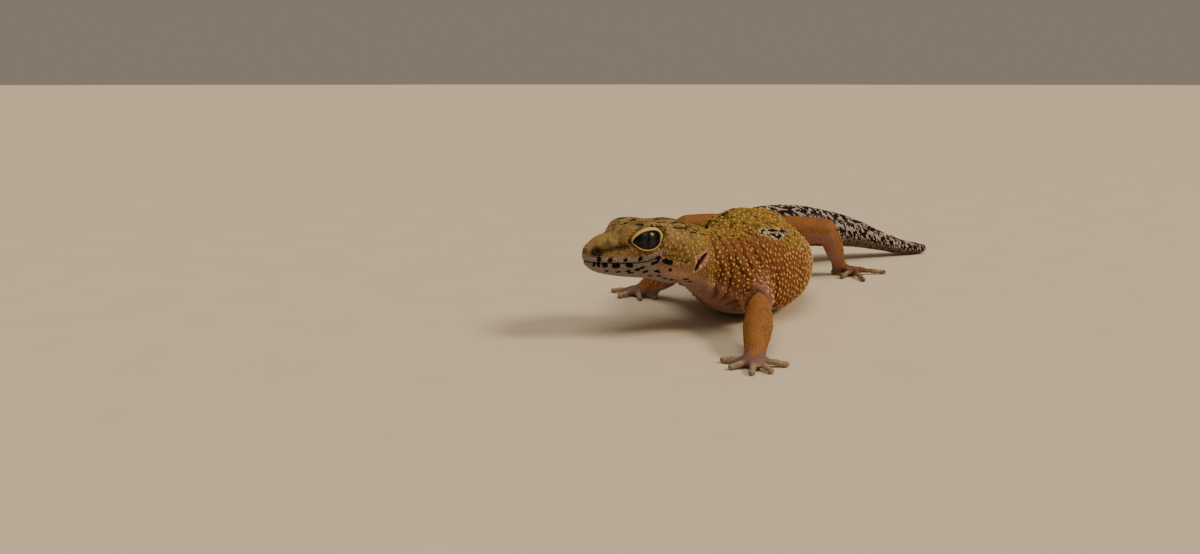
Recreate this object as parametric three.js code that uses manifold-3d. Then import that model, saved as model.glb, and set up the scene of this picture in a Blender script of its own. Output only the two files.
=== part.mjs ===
// Leopard gecko (Eublepharis macularius), adult, life size, standing with the head turned to its right.
// Millimetres, +Z up. +X runs along the animal from the tail tip towards the snout, +Y is its left, and
// the origin lies on the ground under the middle of the whole model.
import * as THREE from "three";
import { ParametricGeometry } from "three/addons/geometries/ParametricGeometry.js";
import { mergeVertices } from "three/addons/utils/BufferGeometryUtils.js";
import Module from "manifold-3d";

const wasm = await Module();
wasm.setup();

// ---------------------------------------------------------------- driving sizes
const TOTAL_LENGTH = 190; // along the spine, from the snout to the tail tip
const PART_GAP = 0.3; // between neighbouring parts
const EYE_RADIUS = 3.8;
const LID_THICKNESS = 0.7;
const MOUTH_LENGTH = 16.5;
const MOUTH_HEIGHT = 21.0;
const PALM_RADIUS = 2.9;
const PALM_THICKNESS = 1.9; // half of it, at the middle of the palm
const PALM_HEIGHT = 1.7; // of its middle above the ground
const TOE_RADIUS = 0.8;
const TOE_TAPER = 0.2; // how much thicker a toe is at the palm
const TOE_SINK = 0.12; // how far a toe's tip is pressed flat on the ground
const KNUCKLE_RISE = 0.5;
const KNUCKLE_SHARE = 0.55; // where along a toe the knuckle lies
const BONE_COVER = 0.75; // how far flesh reaches beyond a bone's end, in radii
const CLAW_LENGTH = 1.0;
const BODY_CUT = 40; // the width of the slabs that part the body, and of those that part a leg
const LEG_CUT = 16;

const UP = new THREE.Vector3(0, 0, 1);
const radians = THREE.MathUtils.degToRad;

// A smooth curve through [place, value] pairs: cubic pieces whose slope at each pair is the mean of its two
// sides, and zero at a peak or a dip, so that it never swings past the values.
function profile(pairs) {
  const chord = pairs.slice(1).map(([x, y], i) => (y - pairs[i][1]) / (x - pairs[i][0]));
  const slope = pairs.map((_, i) => {
    const before = chord[Math.max(i - 1, 0)];
    const after = chord[Math.min(i, chord.length - 1)];
    return before * after <= 0 ? 0 : (2 * before * after) / (before + after);
  });
  return (place) => {
    const last = pairs.length - 2;
    const i = Math.max(0, Math.min(last, pairs.findIndex(([x]) => x > place) - 1));
    const k = place >= pairs[last][0] ? last : i;
    const [x0, y0] = pairs[k];
    const [x1, y1] = pairs[k + 1];
    const width = x1 - x0;
    const t = THREE.MathUtils.clamp((place - x0) / width, 0, 1);
    const rest = 1 - t;
    return (
      y0 * (1 + 2 * t) * rest * rest +
      y1 * (3 - 2 * t) * t * t +
      width * t * rest * (slope[k] * rest - slope[k + 1] * t)
    );
  };
}

// ---------------------------------------------------------------- the spine, by distance from the snout
const heading = profile([
  [0, -21],
  [25, -21],
  [45, 14],
  [60, 22],
  [75, 31],
  [88, 41],
  [98, 41],
  [108, 18],
  [118, -6],
  [132, -12],
  [152, -18],
  [TOTAL_LENGTH, -25],
]);
const axisHeight = profile([
  [0, 22.8],
  [4, 23.1],
  [10, 23.8],
  [16, 23.9],
  [22, 22.9],
  [28, 21.0],
  [34, 17.6],
  [44, 13.6],
  [58, 11.6],
  [76, 11.6],
  [94, 13.2],
  [108, 14.8],
  [122, 15.0],
  [130, 14.5],
  [144, 12.4],
  [154, 10.4],
  [168, 6.4],
  [180, 3.1],
  [186, 2.4],
  [TOTAL_LENGTH, 2.0],
]);
const halfWidth = profile([
  [0, 0],
  [0.5, 2.0],
  [1.5, 3.2],
  [3.5, 4.5],
  [7, 5.9],
  [11, 7.2],
  [15, 8.4],
  [20, 10.2],
  [24, 11.0],
  [28, 10.4],
  [32, 9.3],
  [36, 9.4],
  [42, 11.8],
  [50, 15.0],
  [60, 16.8],
  [72, 16.9],
  [84, 14.4],
  [96, 11.3],
  [106, 9.4],
  [116, 8.0],
  [124, 7.2],
  [134, 7.2],
  [146, 6.6],
  [156, 5.6],
  [168, 4.3],
  [180, 3.3],
  [186, 2.8],
  [188.6, 2.1],
  [189.6, 1.2],
  [TOTAL_LENGTH, 0],
]);
const above = profile([
  [0, 0],
  [0.5, 1.6],
  [1.5, 2.5],
  [2.5, 3.1],
  [4, 4.0],
  [6, 4.9],
  [10, 6.1],
  [13, 6.8],
  [17, 7.3],
  [22, 7.9],
  [28, 8.2],
  [33, 9.2],
  [40, 11.4],
  [50, 16.8],
  [60, 17.9],
  [72, 13.8],
  [84, 11.4],
  [96, 10.4],
  [108, 8.3],
  [122, 7.8],
  [130, 7.5],
  [144, 6.8],
  [154, 5.8],
  [168, 4.0],
  [180, 2.9],
  [186, 2.3],
  [188.6, 1.8],
  [189.6, 1.1],
  [TOTAL_LENGTH, 0],
]);
const below = profile([
  [0, 0],
  [0.5, 2.6],
  [1.5, 4.2],
  [5, 6.0],
  [10, 7.6],
  [14, 8.2],
  [17, 8.6],
  [21, 9.1],
  [27, 8.4],
  [31, 9.2],
  [36, 10.0],
  [44, 11.2],
  [54, 11.8],
  [66, 11.7],
  [84, 10.2],
  [96, 8.9],
  [108, 8.4],
  [122, 8.0],
  [130, 7.6],
  [144, 6.8],
  [154, 5.7],
  [168, 4.1],
  [180, 3.1],
  [186, 2.5],
  [188.6, 1.8],
  [189.6, 1.0],
  [TOTAL_LENGTH, 0],
]);
// How square the cross-section is above and below the spine: 2 is an ellipse. The crown of the head is flat.
const squareAbove = profile([
  [0, 2.0],
  [5, 2.3],
  [14, 2.6],
  [24, 2.5],
  [34, 2.1],
  [60, 2.05],
  [84, 1.85],
  [104, 2.0],
  [TOTAL_LENGTH, 2.0],
]);
const squareBelow = profile([
  [0, 2.0],
  [20, 2.2],
  [46, 2.2],
  [60, 2.45],
  [84, 2.35],
  [104, 2.05],
  [TOTAL_LENGTH, 2.0],
]);

// The spine's plan is its heading summed up in steps of half a millimetre, starting at the snout.
const STEP = 0.5;
const plan = [new THREE.Vector2(0, 0)];
for (let s = 0; s < TOTAL_LENGTH; s += STEP) {
  const angle = radians(heading(s + STEP / 2));
  const last = plan[plan.length - 1];
  plan.push(new THREE.Vector2(last.x - STEP * Math.cos(angle), last.y - STEP * Math.sin(angle)));
}

function sideways(s) {
  const angle = radians(heading(s));
  return new THREE.Vector3(-Math.sin(angle), Math.cos(angle), 0);
}

function forwards(s) {
  const angle = radians(heading(s));
  return new THREE.Vector3(Math.cos(angle), Math.sin(angle), 0);
}

// The point at distance s from the snout, `side` to the animal's left of the spine, and `height` above the
// ground.
function at(s, side, height) {
  const place = THREE.MathUtils.clamp(s / STEP, 0, plan.length - 1.001);
  const i = Math.floor(place);
  const spot = plan[i].clone().lerp(plan[i + 1], place - i);
  return new THREE.Vector3(spot.x, spot.y, height).addScaledVector(sideways(s), side);
}

// ---------------------------------------------------------------- surfaces and solids
// A closed body from rings: ring(v) gives {centre, side, up, width, top, bottom, powers} for v from 0 to 1. The
// rings at both ends shrink to a point.
function loft(ring, around, along) {
  const geometry = new ParametricGeometry(
    (u, v, target) => {
      const { centre, side, up, width, top, bottom = top, powers = [2, 2] } = ring(v);
      const angle = 2 * Math.PI * u;
      const c = Math.cos(angle);
      const s = Math.sin(angle);
      const power = s > 0 ? powers[0] : powers[1];
      const x = Math.sign(c) * Math.abs(c) ** (2 / power) * width;
      const z = Math.sign(s) * Math.abs(s) ** (2 / power) * (s > 0 ? top : bottom);
      target.copy(centre).addScaledVector(side, x).addScaledVector(up, z);
    },
    around,
    along,
  );
  return geometry;
}

// A tube along a curve, with a radius for each share of its length, round at both ends.
function limb(points, radius, around, along) {
  const curve = new THREE.CatmullRomCurve3(points, false, "catmullrom", 0.5);
  return loft(
    (v) => {
      // Rings are closer together near both ends, which are round.
      const t = 0.5 - 0.5 * Math.cos(Math.PI * v);
      const centre = curve.getPointAt(t);
      const tangent = curve.getTangentAt(t);
      const side = new THREE.Vector3().crossVectors(UP, tangent);
      if (side.lengthSq() < 1e-4) side.set(1, 0, 0);
      side.normalize();
      const up = new THREE.Vector3().crossVectors(tangent, side).normalize();
      const r = radius(t);
      const reach = curve.getLength();
      const fromEnd = Math.min(t, 1 - t) * reach;
      const round = fromEnd < r ? Math.sqrt(Math.max(0, 1 - (1 - fromEnd / r) ** 2)) : 1;
      return { centre, side, up, width: r * round, top: r * round };
    },
    around,
    along,
  );
}

// A closed three.js geometry as a manifold-3d solid, without the empty triangles that a ring shrunk to a point
// leaves.
function solid(geometry) {
  const bare = geometry.index ? geometry.toNonIndexed() : geometry.clone();
  const points = new THREE.BufferGeometry().setAttribute("position", bare.getAttribute("position"));
  const merged = mergeVertices(points, 1e-3);
  const corners = merged.index.array;
  const kept = [];
  for (let i = 0; i < corners.length; i += 3) {
    const [a, b, c] = [corners[i], corners[i + 1], corners[i + 2]];
    if (a !== b && b !== c && c !== a) kept.push(a, b, c);
  }
  const vertProperties = new Float32Array(merged.attributes.position.array);
  const build = () => {
    const mesh = new wasm.Mesh({ numProp: 3, vertProperties, triVerts: new Uint32Array(kept) });
    return new wasm.Manifold(mesh);
  };
  const made = build();
  if (made.volume() > 0) return made;
  for (let i = 0; i < kept.length; i += 3) [kept[i], kept[i + 1]] = [kept[i + 1], kept[i]];
  return build();
}

// A manifold-3d solid as a three.js geometry.
function geometryOf(made) {
  const mesh = made.getMesh();
  const positions = new Float32Array(mesh.numVert * 3);
  for (let i = 0; i < mesh.numVert; i++) {
    for (let k = 0; k < 3; k++) positions[3 * i + k] = mesh.vertProperties[i * mesh.numProp + k];
  }
  const geometry = new THREE.BufferGeometry();
  geometry.setAttribute("position", new THREE.BufferAttribute(positions, 3));
  geometry.setIndex(new THREE.BufferAttribute(new Uint32Array(mesh.triVerts), 1));
  geometry.computeVertexNormals();
  return geometry;
}

// A thin box across a limb or the body at `centre`, square to `direction`: subtracting it parts the solid.
function slab(centre, direction, width) {
  const geometry = new THREE.BoxGeometry(PART_GAP, width, width);
  const turn = new THREE.Quaternion().setFromUnitVectors(
    new THREE.Vector3(1, 0, 0),
    direction.clone().normalize(),
  );
  geometry.applyQuaternion(turn);
  geometry.translate(centre.x, centre.y, centre.z);
  return solid(geometry);
}

// ---------------------------------------------------------------- head, neck, trunk and tail
// The rings are closer together where the shape changes fast: the snout, the head and the tail tip.
const ringPlace = profile([
  [0, 0],
  [0.04, 1.0],
  [0.09, 4],
  [0.36, 30],
  [0.5, 46],
  [0.7, 100],
  [0.95, TOTAL_LENGTH - 5],
  [1, TOTAL_LENGTH],
]);

function bodyRing(grown = 0) {
  return (v) => {
    const s = ringPlace(v);
    const more = s > 1 && s < TOTAL_LENGTH - 1 ? grown : 0;
    return {
      centre: at(s, 0, axisHeight(s)),
      side: sideways(s),
      up: UP,
      width: halfWidth(s) + more,
      top: above(s) + more,
      bottom: below(s) + more,
      powers: [squareAbove(s), squareBelow(s)],
    };
  };
}

const BODY_SIDES = 22;
const BODY_RINGS = 50;

// Each eye looks sideways, a little forwards and up. The lids are a shell round it with an almond opening.
const EYE_PLACE = { s: 14.5, side: 4.9, height: 26.0 };
const EYE_FORWARD = 12;
const EYE_UP = 6;
const ORBIT_LENGTHENED = 1.5;
const ORBIT_TOE_IN = 22;

function eyeCentre(hand) {
  return at(EYE_PLACE.s, hand * EYE_PLACE.side, EYE_PLACE.height);
}

function eyeball(hand, radius) {
  const centre = eyeCentre(hand);
  return solid(new THREE.SphereGeometry(radius, 12, 8).translate(centre.x, centre.y, centre.z));
}

// The lids and the brow: an egg round the eye, longer along the head than it is tall.
function orbit(hand) {
  const around = EYE_RADIUS + PART_GAP + LID_THICKNESS;
  const egg = new THREE.SphereGeometry(1, 14, 9).scale(around + ORBIT_LENGTHENED, around, around);
  egg.rotateZ(radians(heading(EYE_PLACE.s) - hand * ORBIT_TOE_IN));
  const centre = eyeCentre(hand);
  return solid(egg.translate(centre.x, centre.y, centre.z));
}

// The opening between the lids, as a prism from the middle of the eye outwards. Its x runs to the snout.
function lidOpening(hand) {
  const opening = new THREE.Shape();
  opening.moveTo(3.6, -0.8);
  opening.bezierCurveTo(2.6, 0.9, 1.2, 2.5, -0.9, 2.6);
  opening.bezierCurveTo(-2.6, 2.6, -3.4, 1.7, -3.2, 0.6);
  opening.bezierCurveTo(-3.0, -1.2, -2.0, -2.3, -0.2, -2.4);
  opening.bezierCurveTo(1.4, -2.4, 2.6, -1.9, 3.6, -0.8);
  const prism = new THREE.ExtrudeGeometry(opening, { depth: 8, bevelEnabled: false, curveSegments: 4 });
  const out = sideways(EYE_PLACE.s)
    .applyAxisAngle(UP, -radians(EYE_FORWARD))
    .add(UP.clone().multiplyScalar(Math.tan(radians(EYE_UP))))
    .normalize();
  const front = new THREE.Vector3().crossVectors(out, UP).normalize();
  const up = new THREE.Vector3().crossVectors(front, out);
  const left = prism.applyMatrix4(new THREE.Matrix4().makeBasis(front, up, out));
  if (hand < 0) {
    // The right eye is the left one mirrored in the plane of the head.
    const normal = sideways(EYE_PLACE.s);
    const mirror = new THREE.Matrix4().set(
      1 - 2 * normal.x * normal.x, -2 * normal.x * normal.y, 0, 0,
      -2 * normal.x * normal.y, 1 - 2 * normal.y * normal.y, 0, 0,
      0, 0, 1, 0,
      0, 0, 0, 1,
    );
    left.applyMatrix4(mirror);
  }
  const centre = eyeCentre(hand);
  return solid(left.translate(centre.x, centre.y, centre.z));
}

// The ear openings are upright slits behind the jaw. The nostrils are round pits near the tip of the snout.
const EAR = { s: 27.1, side: 10.3, height: 20.6, along: 0.7, across: 1.6, tall: 2.5, lean: 31 };
const NOSTRIL = { s: 2.5, side: 3.9, height: 24.0, along: 0.55, across: 0.9, tall: 0.5, lean: 0 };

function pit({ s, side, height, along, across, tall, lean }, hand) {
  const geometry = new THREE.SphereGeometry(1, 6, 5).scale(along, across, tall);
  geometry.rotateY(radians(lean)).rotateZ(radians(heading(s)));
  const centre = at(s, hand * side, height);
  return solid(geometry.translate(centre.x, centre.y, centre.z));
}

let axial = solid(loft(bodyRing(), BODY_SIDES, BODY_RINGS));
const bodyGrown = solid(loft(bodyRing(PART_GAP), BODY_SIDES, BODY_RINGS));
for (const hand of [1, -1]) axial = axial.add(orbit(hand));
for (const hand of [1, -1]) {
  axial = axial.subtract(eyeball(hand, EYE_RADIUS + PART_GAP)).subtract(lidOpening(hand));
  axial = axial.subtract(pit(EAR, hand)).subtract(pit(NOSTRIL, hand));
}

// ---------------------------------------------------------------- the parts
const colours = {
  head: 0xb5933f,
  pale: 0xd9c3b0,
  body: 0xc78a34,
  tail: 0xb7a8a6,
  leg: 0xc27a30,
  foot: 0xa9897c,
  eye: 0x17141a,
  claw: 0x4a3b30,
};
const group = new THREE.Group();
group.name = "leopard_gecko";
const ground = solid(new THREE.BoxGeometry(600, 600, 20).translate(0, 0, -10));

function addPart(name, made, colour, roughness = 0.65) {
  const material = new THREE.MeshStandardMaterial({ color: colour, roughness, metalness: 0 });
  const mesh = new THREE.Mesh(geometryOf(made), material);
  mesh.name = name;
  group.add(mesh);
}

// A block in the head's own frame: from place `start` to `end` along it, and from one height to another.
function headBlock(start, end, low, high) {
  const geometry = new THREE.BoxGeometry(end - start, BODY_CUT, high - low);
  geometry.translate(-(start + end) / 2, 0, (low + high) / 2);
  geometry.rotateZ(radians(heading(0)));
  return solid(geometry);
}

// A solid is parted by thin slabs, and each piece takes the name of the nearest of the given places.
function addPieces(made, slabs, pieces) {
  let cut = made;
  for (const one of slabs) cut = cut.subtract(one);
  const found = cut
    .decompose()
    .filter((piece) => piece.volume() > 0.5)
    .map((piece) => {
      const { min, max } = piece.boundingBox();
      const middle = new THREE.Vector3(...min).add(new THREE.Vector3(...max)).multiplyScalar(0.5);
      return { piece, middle };
    });
  for (const [name, place, colour] of pieces) {
    found.sort((a, b) => a.middle.distanceTo(place) - b.middle.distanceTo(place));
    addPart(name, found.shift().piece, colour);
  }
}

const acrossSpine = (s) => slab(at(s, 0, axisHeight(s)), forwards(s), BODY_CUT);
addPieces(
  axial.subtract(ground),
  [
    headBlock(-4, MOUTH_LENGTH + PART_GAP, MOUTH_HEIGHT, MOUTH_HEIGHT + PART_GAP),
    headBlock(MOUTH_LENGTH, MOUTH_LENGTH + PART_GAP, 0, MOUTH_HEIGHT + PART_GAP),
    acrossSpine(30),
    acrossSpine(41),
    acrossSpine(114),
    acrossSpine(139),
    acrossSpine(164),
  ],
  [
    ["lower_jaw", at(9, 0, 18), colours.pale],
    ["head", at(17, 0, 23), colours.head],
    ["neck", at(36, 0, 18), colours.body],
    ["trunk", at(76, 0, 15), colours.body],
    ["tail_base", at(126, 0, 14), colours.tail],
    ["tail_middle", at(151, 0, 11), colours.tail],
    ["tail_tip", at(176, 0, 4), colours.tail],
  ],
);
for (const [side, hand] of [
  ["left", 1],
  ["right", -1],
]) {
  addPart("eye_" + side, eyeball(hand, EYE_RADIUS), colours.eye, 0.12);
}

// ---------------------------------------------------------------- legs
// Each leg: where its root lies in the body, the compass heading and end of each length of it (0 degrees is
// +X, 90 is +Y), and each toe's heading and reach from the middle of the palm, the inner toe first.
const LEGS = [
  {
    name: "front_left",
    root: [44, 7.5, 13.2],
    upper: { heading: 44, length: 18.3, end: 8.2, thick: [6.2, 3.4] },
    lower: { heading: 34, length: 14.8, end: 3.2, thick: [3.8, 3.3] },
    palm: { heading: 36, ahead: 3.4 },
    toes: [[-65, 8.6], [-20, 7.4], [32, 7.8], [75, 7.2], [133, 8.4]],
  },
  {
    name: "front_right",
    root: [44, -7.5, 13.2],
    upper: { heading: -114, length: 17, end: 10, thick: [6.2, 3.4] },
    lower: { heading: -90, length: 13.6, end: 3.2, thick: [3.8, 3.3] },
    palm: { heading: -70, ahead: 3.4 },
    toes: [[94, 8.8], [54, 8.2], [-6, 7.8], [-71, 9.2], [-126, 9.0]],
  },
  {
    name: "hind_left",
    root: [105.4, 4.1, 15],
    upper: { heading: 122, length: 19.2, end: 16.8, thick: [6.0, 4.1] },
    lower: { heading: -172, length: 17.0, end: 3.6, thick: [3.5, 2.8] },
    palm: { heading: 135, ahead: 4.6 },
    toes: [[-50, 7.6], [8, 9.6], [50, 12.2], [142, 12.2], [-172, 9.4]],
  },
  {
    name: "hind_right",
    root: [106, -5.6, 15],
    upper: { heading: -42, length: 19.4, end: 16.6, thick: [6.0, 4.1] },
    lower: { heading: -143, length: 17.0, end: 3.6, thick: [3.5, 2.8] },
    palm: { heading: -105, ahead: 3.8 },
    toes: [[0, 7.6], [-34, 9.6], [-66, 12.2], [-106, 12.2], [-158, 9.4]],
  },
];

function compass(degrees) {
  return new THREE.Vector3(Math.cos(radians(degrees)), Math.sin(radians(degrees)), 0);
}

// The end of a bone `length` long from `start`, on a compass heading, when that end is `height` above ground.
function boneEnd(start, degrees, length, height) {
  const flat = Math.sqrt(Math.max(0, length ** 2 - (height - start.z) ** 2));
  return start.clone().addScaledVector(compass(degrees), flat).setZ(height);
}

// The flesh round the bone from a to b, tapered, and rounded a little beyond each end.
function flesh(a, b, [thickA, thickB], grown = 0) {
  const along = b.clone().sub(a).normalize();
  const start = a.clone().addScaledVector(along, -BONE_COVER * thickA - grown);
  const end = b.clone().addScaledVector(along, BONE_COVER * thickB + grown);
  const middle = start.clone().lerp(end, 0.5);
  const radius = (t) => THREE.MathUtils.lerp(thickA, thickB, t) + grown;
  return solid(limb([start, middle, end], radius, 10, 8));
}

// A palm with its five toes, each arched at the knuckle. `grown` makes it thicker everywhere.
function sole(palm, leg, grown = 0) {
  let made = solid(
    new THREE.SphereGeometry(1, 10, 6)
      .scale(PALM_RADIUS + 0.5 + grown, PALM_RADIUS + grown, PALM_THICKNESS + grown)
      .rotateZ(radians(leg.palm.heading))
      .translate(palm.x, palm.y, palm.z),
  );
  for (const [degrees, reach] of leg.toes) {
    const end = reach - CLAW_LENGTH + grown;
    const tip = palm.clone().addScaledVector(compass(degrees), end).setZ(TOE_RADIUS - TOE_SINK);
    const knuckle = palm.clone().lerp(tip, KNUCKLE_SHARE).setZ(TOE_RADIUS + KNUCKLE_RISE);
    const radius = (t) => TOE_RADIUS + TOE_TAPER * (1 - t) + grown;
    made = made.add(solid(limb([palm, knuckle, tip], radius, 6, 5)));
  }
  return made;
}

// A claw curves down from just beyond its toe.
function claw(palm, [degrees, reach]) {
  const place = (ahead, height) => palm.clone().addScaledVector(compass(degrees), ahead).setZ(height);
  const start = reach - CLAW_LENGTH + PART_GAP;
  const points = [place(start, TOE_RADIUS), place((start + reach) / 2, TOE_RADIUS + 0.1), place(reach, 0.5)];
  return solid(limb(points, (t) => 0.5 - 0.2 * t, 5, 4));
}

for (const leg of LEGS) {
  const root = at(...leg.root);
  const joint = boneEnd(root, leg.upper.heading, leg.upper.length, leg.upper.end);
  const ankle = boneEnd(joint, leg.lower.heading, leg.lower.length, leg.lower.end);
  const palm = ankle.clone().addScaledVector(compass(leg.palm.heading), leg.palm.ahead).setZ(PALM_HEIGHT);
  const upperDirection = joint.clone().sub(root).normalize();
  const lowerDirection = ankle.clone().sub(joint).normalize();
  const shaft = flesh(root, joint, leg.upper.thick)
    .add(flesh(joint, ankle, leg.lower.thick))
    .subtract(bodyGrown)
    .subtract(sole(palm, leg, PART_GAP))
    .subtract(ground);
  const colour = colours.leg;
  addPieces(
    shaft,
    [slab(joint, upperDirection.clone().add(lowerDirection), LEG_CUT)],
    [
      ["upper_" + leg.name, root.clone().lerp(joint, 0.6), colour],
      ["lower_" + leg.name, joint.clone().lerp(ankle, 0.6), colour],
    ],
  );
  addPart("foot_" + leg.name, sole(palm, leg).subtract(ground), colours.foot);
  leg.toes.forEach((toe, i) => {
    addPart("claw_" + leg.name + "_" + (i + 1), claw(palm, toe), colours.claw, 0.4);
  });
}

// The whole model moves in plan, so that the origin lies on the ground under its middle.
const box = new THREE.Box3().setFromObject(group);
const middle = box.getCenter(new THREE.Vector3());
for (const mesh of group.children) mesh.geometry.translate(-middle.x, -middle.y, 0);

export default group;
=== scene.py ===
# %% [markdown]
# # A leopard gecko, life size
#
# A leopard gecko is a stout ground lizard, as long as a hand. This one stands on four splayed legs with its
# head turned to its right, as a still museum model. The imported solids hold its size, its pose and its
# parts. The cells below dress them: one skin over all the flesh, with lids, lips, folds and toes; scales
# and tubercles over the skin; two eyes; twenty claws; and a coat of colour that skin and scales share.
#
# Shapes are worked out in millimetres, which is how a small animal is measured, and become metres when they
# go into a mesh. Distances along the animal are counted from the tip of the snout, and `angle` runs round
# the body: 0 degrees is its left side, 90 its back, 180 its right side and -90 its belly.

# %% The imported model
import math

import bmesh
import bpy
import numpy as np
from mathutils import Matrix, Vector
from mathutils.kdtree import KDTree


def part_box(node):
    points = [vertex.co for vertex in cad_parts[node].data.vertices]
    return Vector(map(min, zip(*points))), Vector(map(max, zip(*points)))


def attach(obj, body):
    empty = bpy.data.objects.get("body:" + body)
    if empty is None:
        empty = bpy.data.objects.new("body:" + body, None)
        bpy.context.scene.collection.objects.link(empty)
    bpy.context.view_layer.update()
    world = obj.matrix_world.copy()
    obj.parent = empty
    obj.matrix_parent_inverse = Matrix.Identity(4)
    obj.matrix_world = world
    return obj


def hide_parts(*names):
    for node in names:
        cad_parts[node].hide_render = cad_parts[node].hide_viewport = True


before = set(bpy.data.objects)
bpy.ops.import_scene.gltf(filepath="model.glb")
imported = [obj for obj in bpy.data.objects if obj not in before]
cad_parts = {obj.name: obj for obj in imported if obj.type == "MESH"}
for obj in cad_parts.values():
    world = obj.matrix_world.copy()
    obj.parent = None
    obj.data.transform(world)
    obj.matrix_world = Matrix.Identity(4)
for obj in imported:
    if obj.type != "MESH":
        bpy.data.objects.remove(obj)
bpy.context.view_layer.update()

MM = 0.001

# %% [markdown]
# ## Small tools for curves
#
# Widths, heights and headings change smoothly along an animal, so each is a curve through a few pairs of a
# place and a value. A cubic between pairs is smooth enough, and a slope of zero at each peak keeps it from
# swinging past the values. A step and a bell shape do the rest: a step fades one region into the next, and
# a bell makes a ridge or a groove of a chosen width.


# %% Curves, steps and bells
def profile(pairs):
    """A smooth curve through (place, value) pairs, as a function of arrays. Between two pairs it is the
    cubic y0 (1 + 2t)(1 - t)^2 + y1 (3 - 2t) t^2 + width t (1 - t)(slope0 (1 - t) - slope1 t). A pair's
    slope is the harmonic mean of the chords on its two sides, and zero at a peak or a dip."""
    x, y = np.array(pairs, float).T
    chord = np.diff(y) / np.diff(x)
    before = np.append(chord[0], chord)
    after = np.append(chord, chord[-1])
    same = before * after > 0
    slope = np.where(same, 2 * before * after / np.where(same, before + after, 1), 0)

    def value(place):
        k = np.clip(np.searchsorted(x, place, side="right") - 1, 0, len(x) - 2)
        width = x[k + 1] - x[k]
        t = np.clip((place - x[k]) / width, 0, 1)
        rest = 1 - t
        ends = y[k] * (1 + 2 * t) * rest**2 + y[k + 1] * (3 - 2 * t) * t**2
        return ends + width * t * rest * (slope[k] * rest - slope[k + 1] * t)

    return value


def step(low, high, x):
    """0 below low, 1 above high, and t^2 (3 - 2t) between; low above high makes it fall."""
    t = np.clip((x - low) / (high - low), 0, 1)
    return t * t * (3 - 2 * t)


def bell(x, width):
    """e to the power -(x / width)^2: 1 at x = 0, and nearly nothing at twice the width."""
    return np.exp(-((x / width) ** 2))


def unit(vectors):
    """Vectors divided by their own lengths."""
    return vectors / np.maximum(np.linalg.norm(vectors, axis=-1, keepdims=True), 1e-9)


def turns(count):
    """Angles evenly round a circle."""
    return np.linspace(0, 2 * np.pi, count, endpoint=False)


def waves(points, length, seed):
    """Smooth noise from about -1 to 1: a sum of sines of the place, each along a random direction."""
    rng = np.random.default_rng(seed)
    count = 9
    ways = unit(rng.normal(size=(count, points.shape[-1]))) * rng.uniform(0.6, 1.5, (count, 1))
    phases = rng.uniform(0, 2 * np.pi, count)
    return np.sin(points @ ways.T * (2 * np.pi / length) + phases).sum(-1) / math.sqrt(count)


# %% [markdown]
# ## The body's plan
#
# The spine is a line in plan, given by its heading at each distance from the snout, and a height above the
# ground. Round it lies a cross-section with a half width, a height above the spine and one below it. The
# flat crown and the square shoulders come from a power over 2 in the section's formula, |x/w|^n + |z/h|^n =
# 1. These are the sizes that the solids are made from, and the skin has to lie just inside them.

# %% Sizes along the spine
T = 190.0  # the whole length along the spine, from the snout to the tail's tip
heading = profile([
    (0, -21), (25, -21), (45, 14), (60, 22), (75, 31), (88, 41), (98, 41), (108, 18), (118, -6), (132, -12),
    (152, -18), (T, -25),
])
axis_height = profile([
    (0, 22.8), (4, 23.1), (10, 23.8), (16, 23.9), (22, 22.9), (28, 21.0), (34, 17.6), (44, 13.6), (58, 11.6),
    (76, 11.6), (94, 13.2), (108, 14.8), (122, 15.0), (130, 14.5), (144, 12.4), (154, 10.4), (168, 6.4),
    (180, 3.1), (186, 2.4), (T, 2.0),
])
half_width = profile([
    (0, 0), (0.5, 2.0), (1.5, 3.2), (3.5, 4.5), (7, 5.9), (11, 7.2), (15, 8.4), (20, 10.2), (24, 11.0),
    (28, 10.4), (32, 9.3), (36, 9.4), (42, 11.8), (50, 15.0), (60, 16.8), (72, 16.9), (84, 14.4), (96, 11.3),
    (106, 9.4), (116, 8.0), (124, 7.2), (134, 7.2), (146, 6.6), (156, 5.6), (168, 4.3), (180, 3.3),
    (186, 2.8), (188.6, 2.1), (189.6, 1.2), (T, 0),
])
above = profile([
    (0, 0), (0.5, 1.6), (1.5, 2.5), (2.5, 3.1), (4, 4.0), (6, 4.9), (10, 6.1), (13, 6.8), (17, 7.3),
    (22, 7.9), (28, 8.2), (33, 9.2), (40, 11.4), (50, 16.8), (60, 17.9), (72, 13.8), (84, 11.4), (96, 10.4),
    (108, 8.3), (122, 7.8), (130, 7.5), (144, 6.8), (154, 5.8), (168, 4.0), (180, 2.9), (186, 2.3),
    (188.6, 1.8), (189.6, 1.1), (T, 0),
])
below = profile([
    (0, 0), (0.5, 2.6), (1.5, 4.2), (5, 6.0), (10, 7.6), (14, 8.2), (17, 8.6), (21, 9.1), (27, 8.4),
    (31, 9.2), (36, 10.0), (44, 11.2), (54, 11.8), (66, 11.7), (84, 10.2), (96, 8.9), (108, 8.4), (122, 8.0),
    (130, 7.6), (144, 6.8), (154, 5.7), (168, 4.1), (180, 3.1), (186, 2.5), (188.6, 1.8), (189.6, 1.0),
    (T, 0),
])
square_above = profile([
    (0, 2.0), (5, 2.3), (14, 2.6), (24, 2.5), (34, 2.1), (60, 2.05), (84, 1.85), (104, 2), (T, 2),
])
square_below = profile([(0, 2.0), (20, 2.2), (46, 2.2), (60, 2.45), (84, 2.35), (104, 2.05), (T, 2)])

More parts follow.
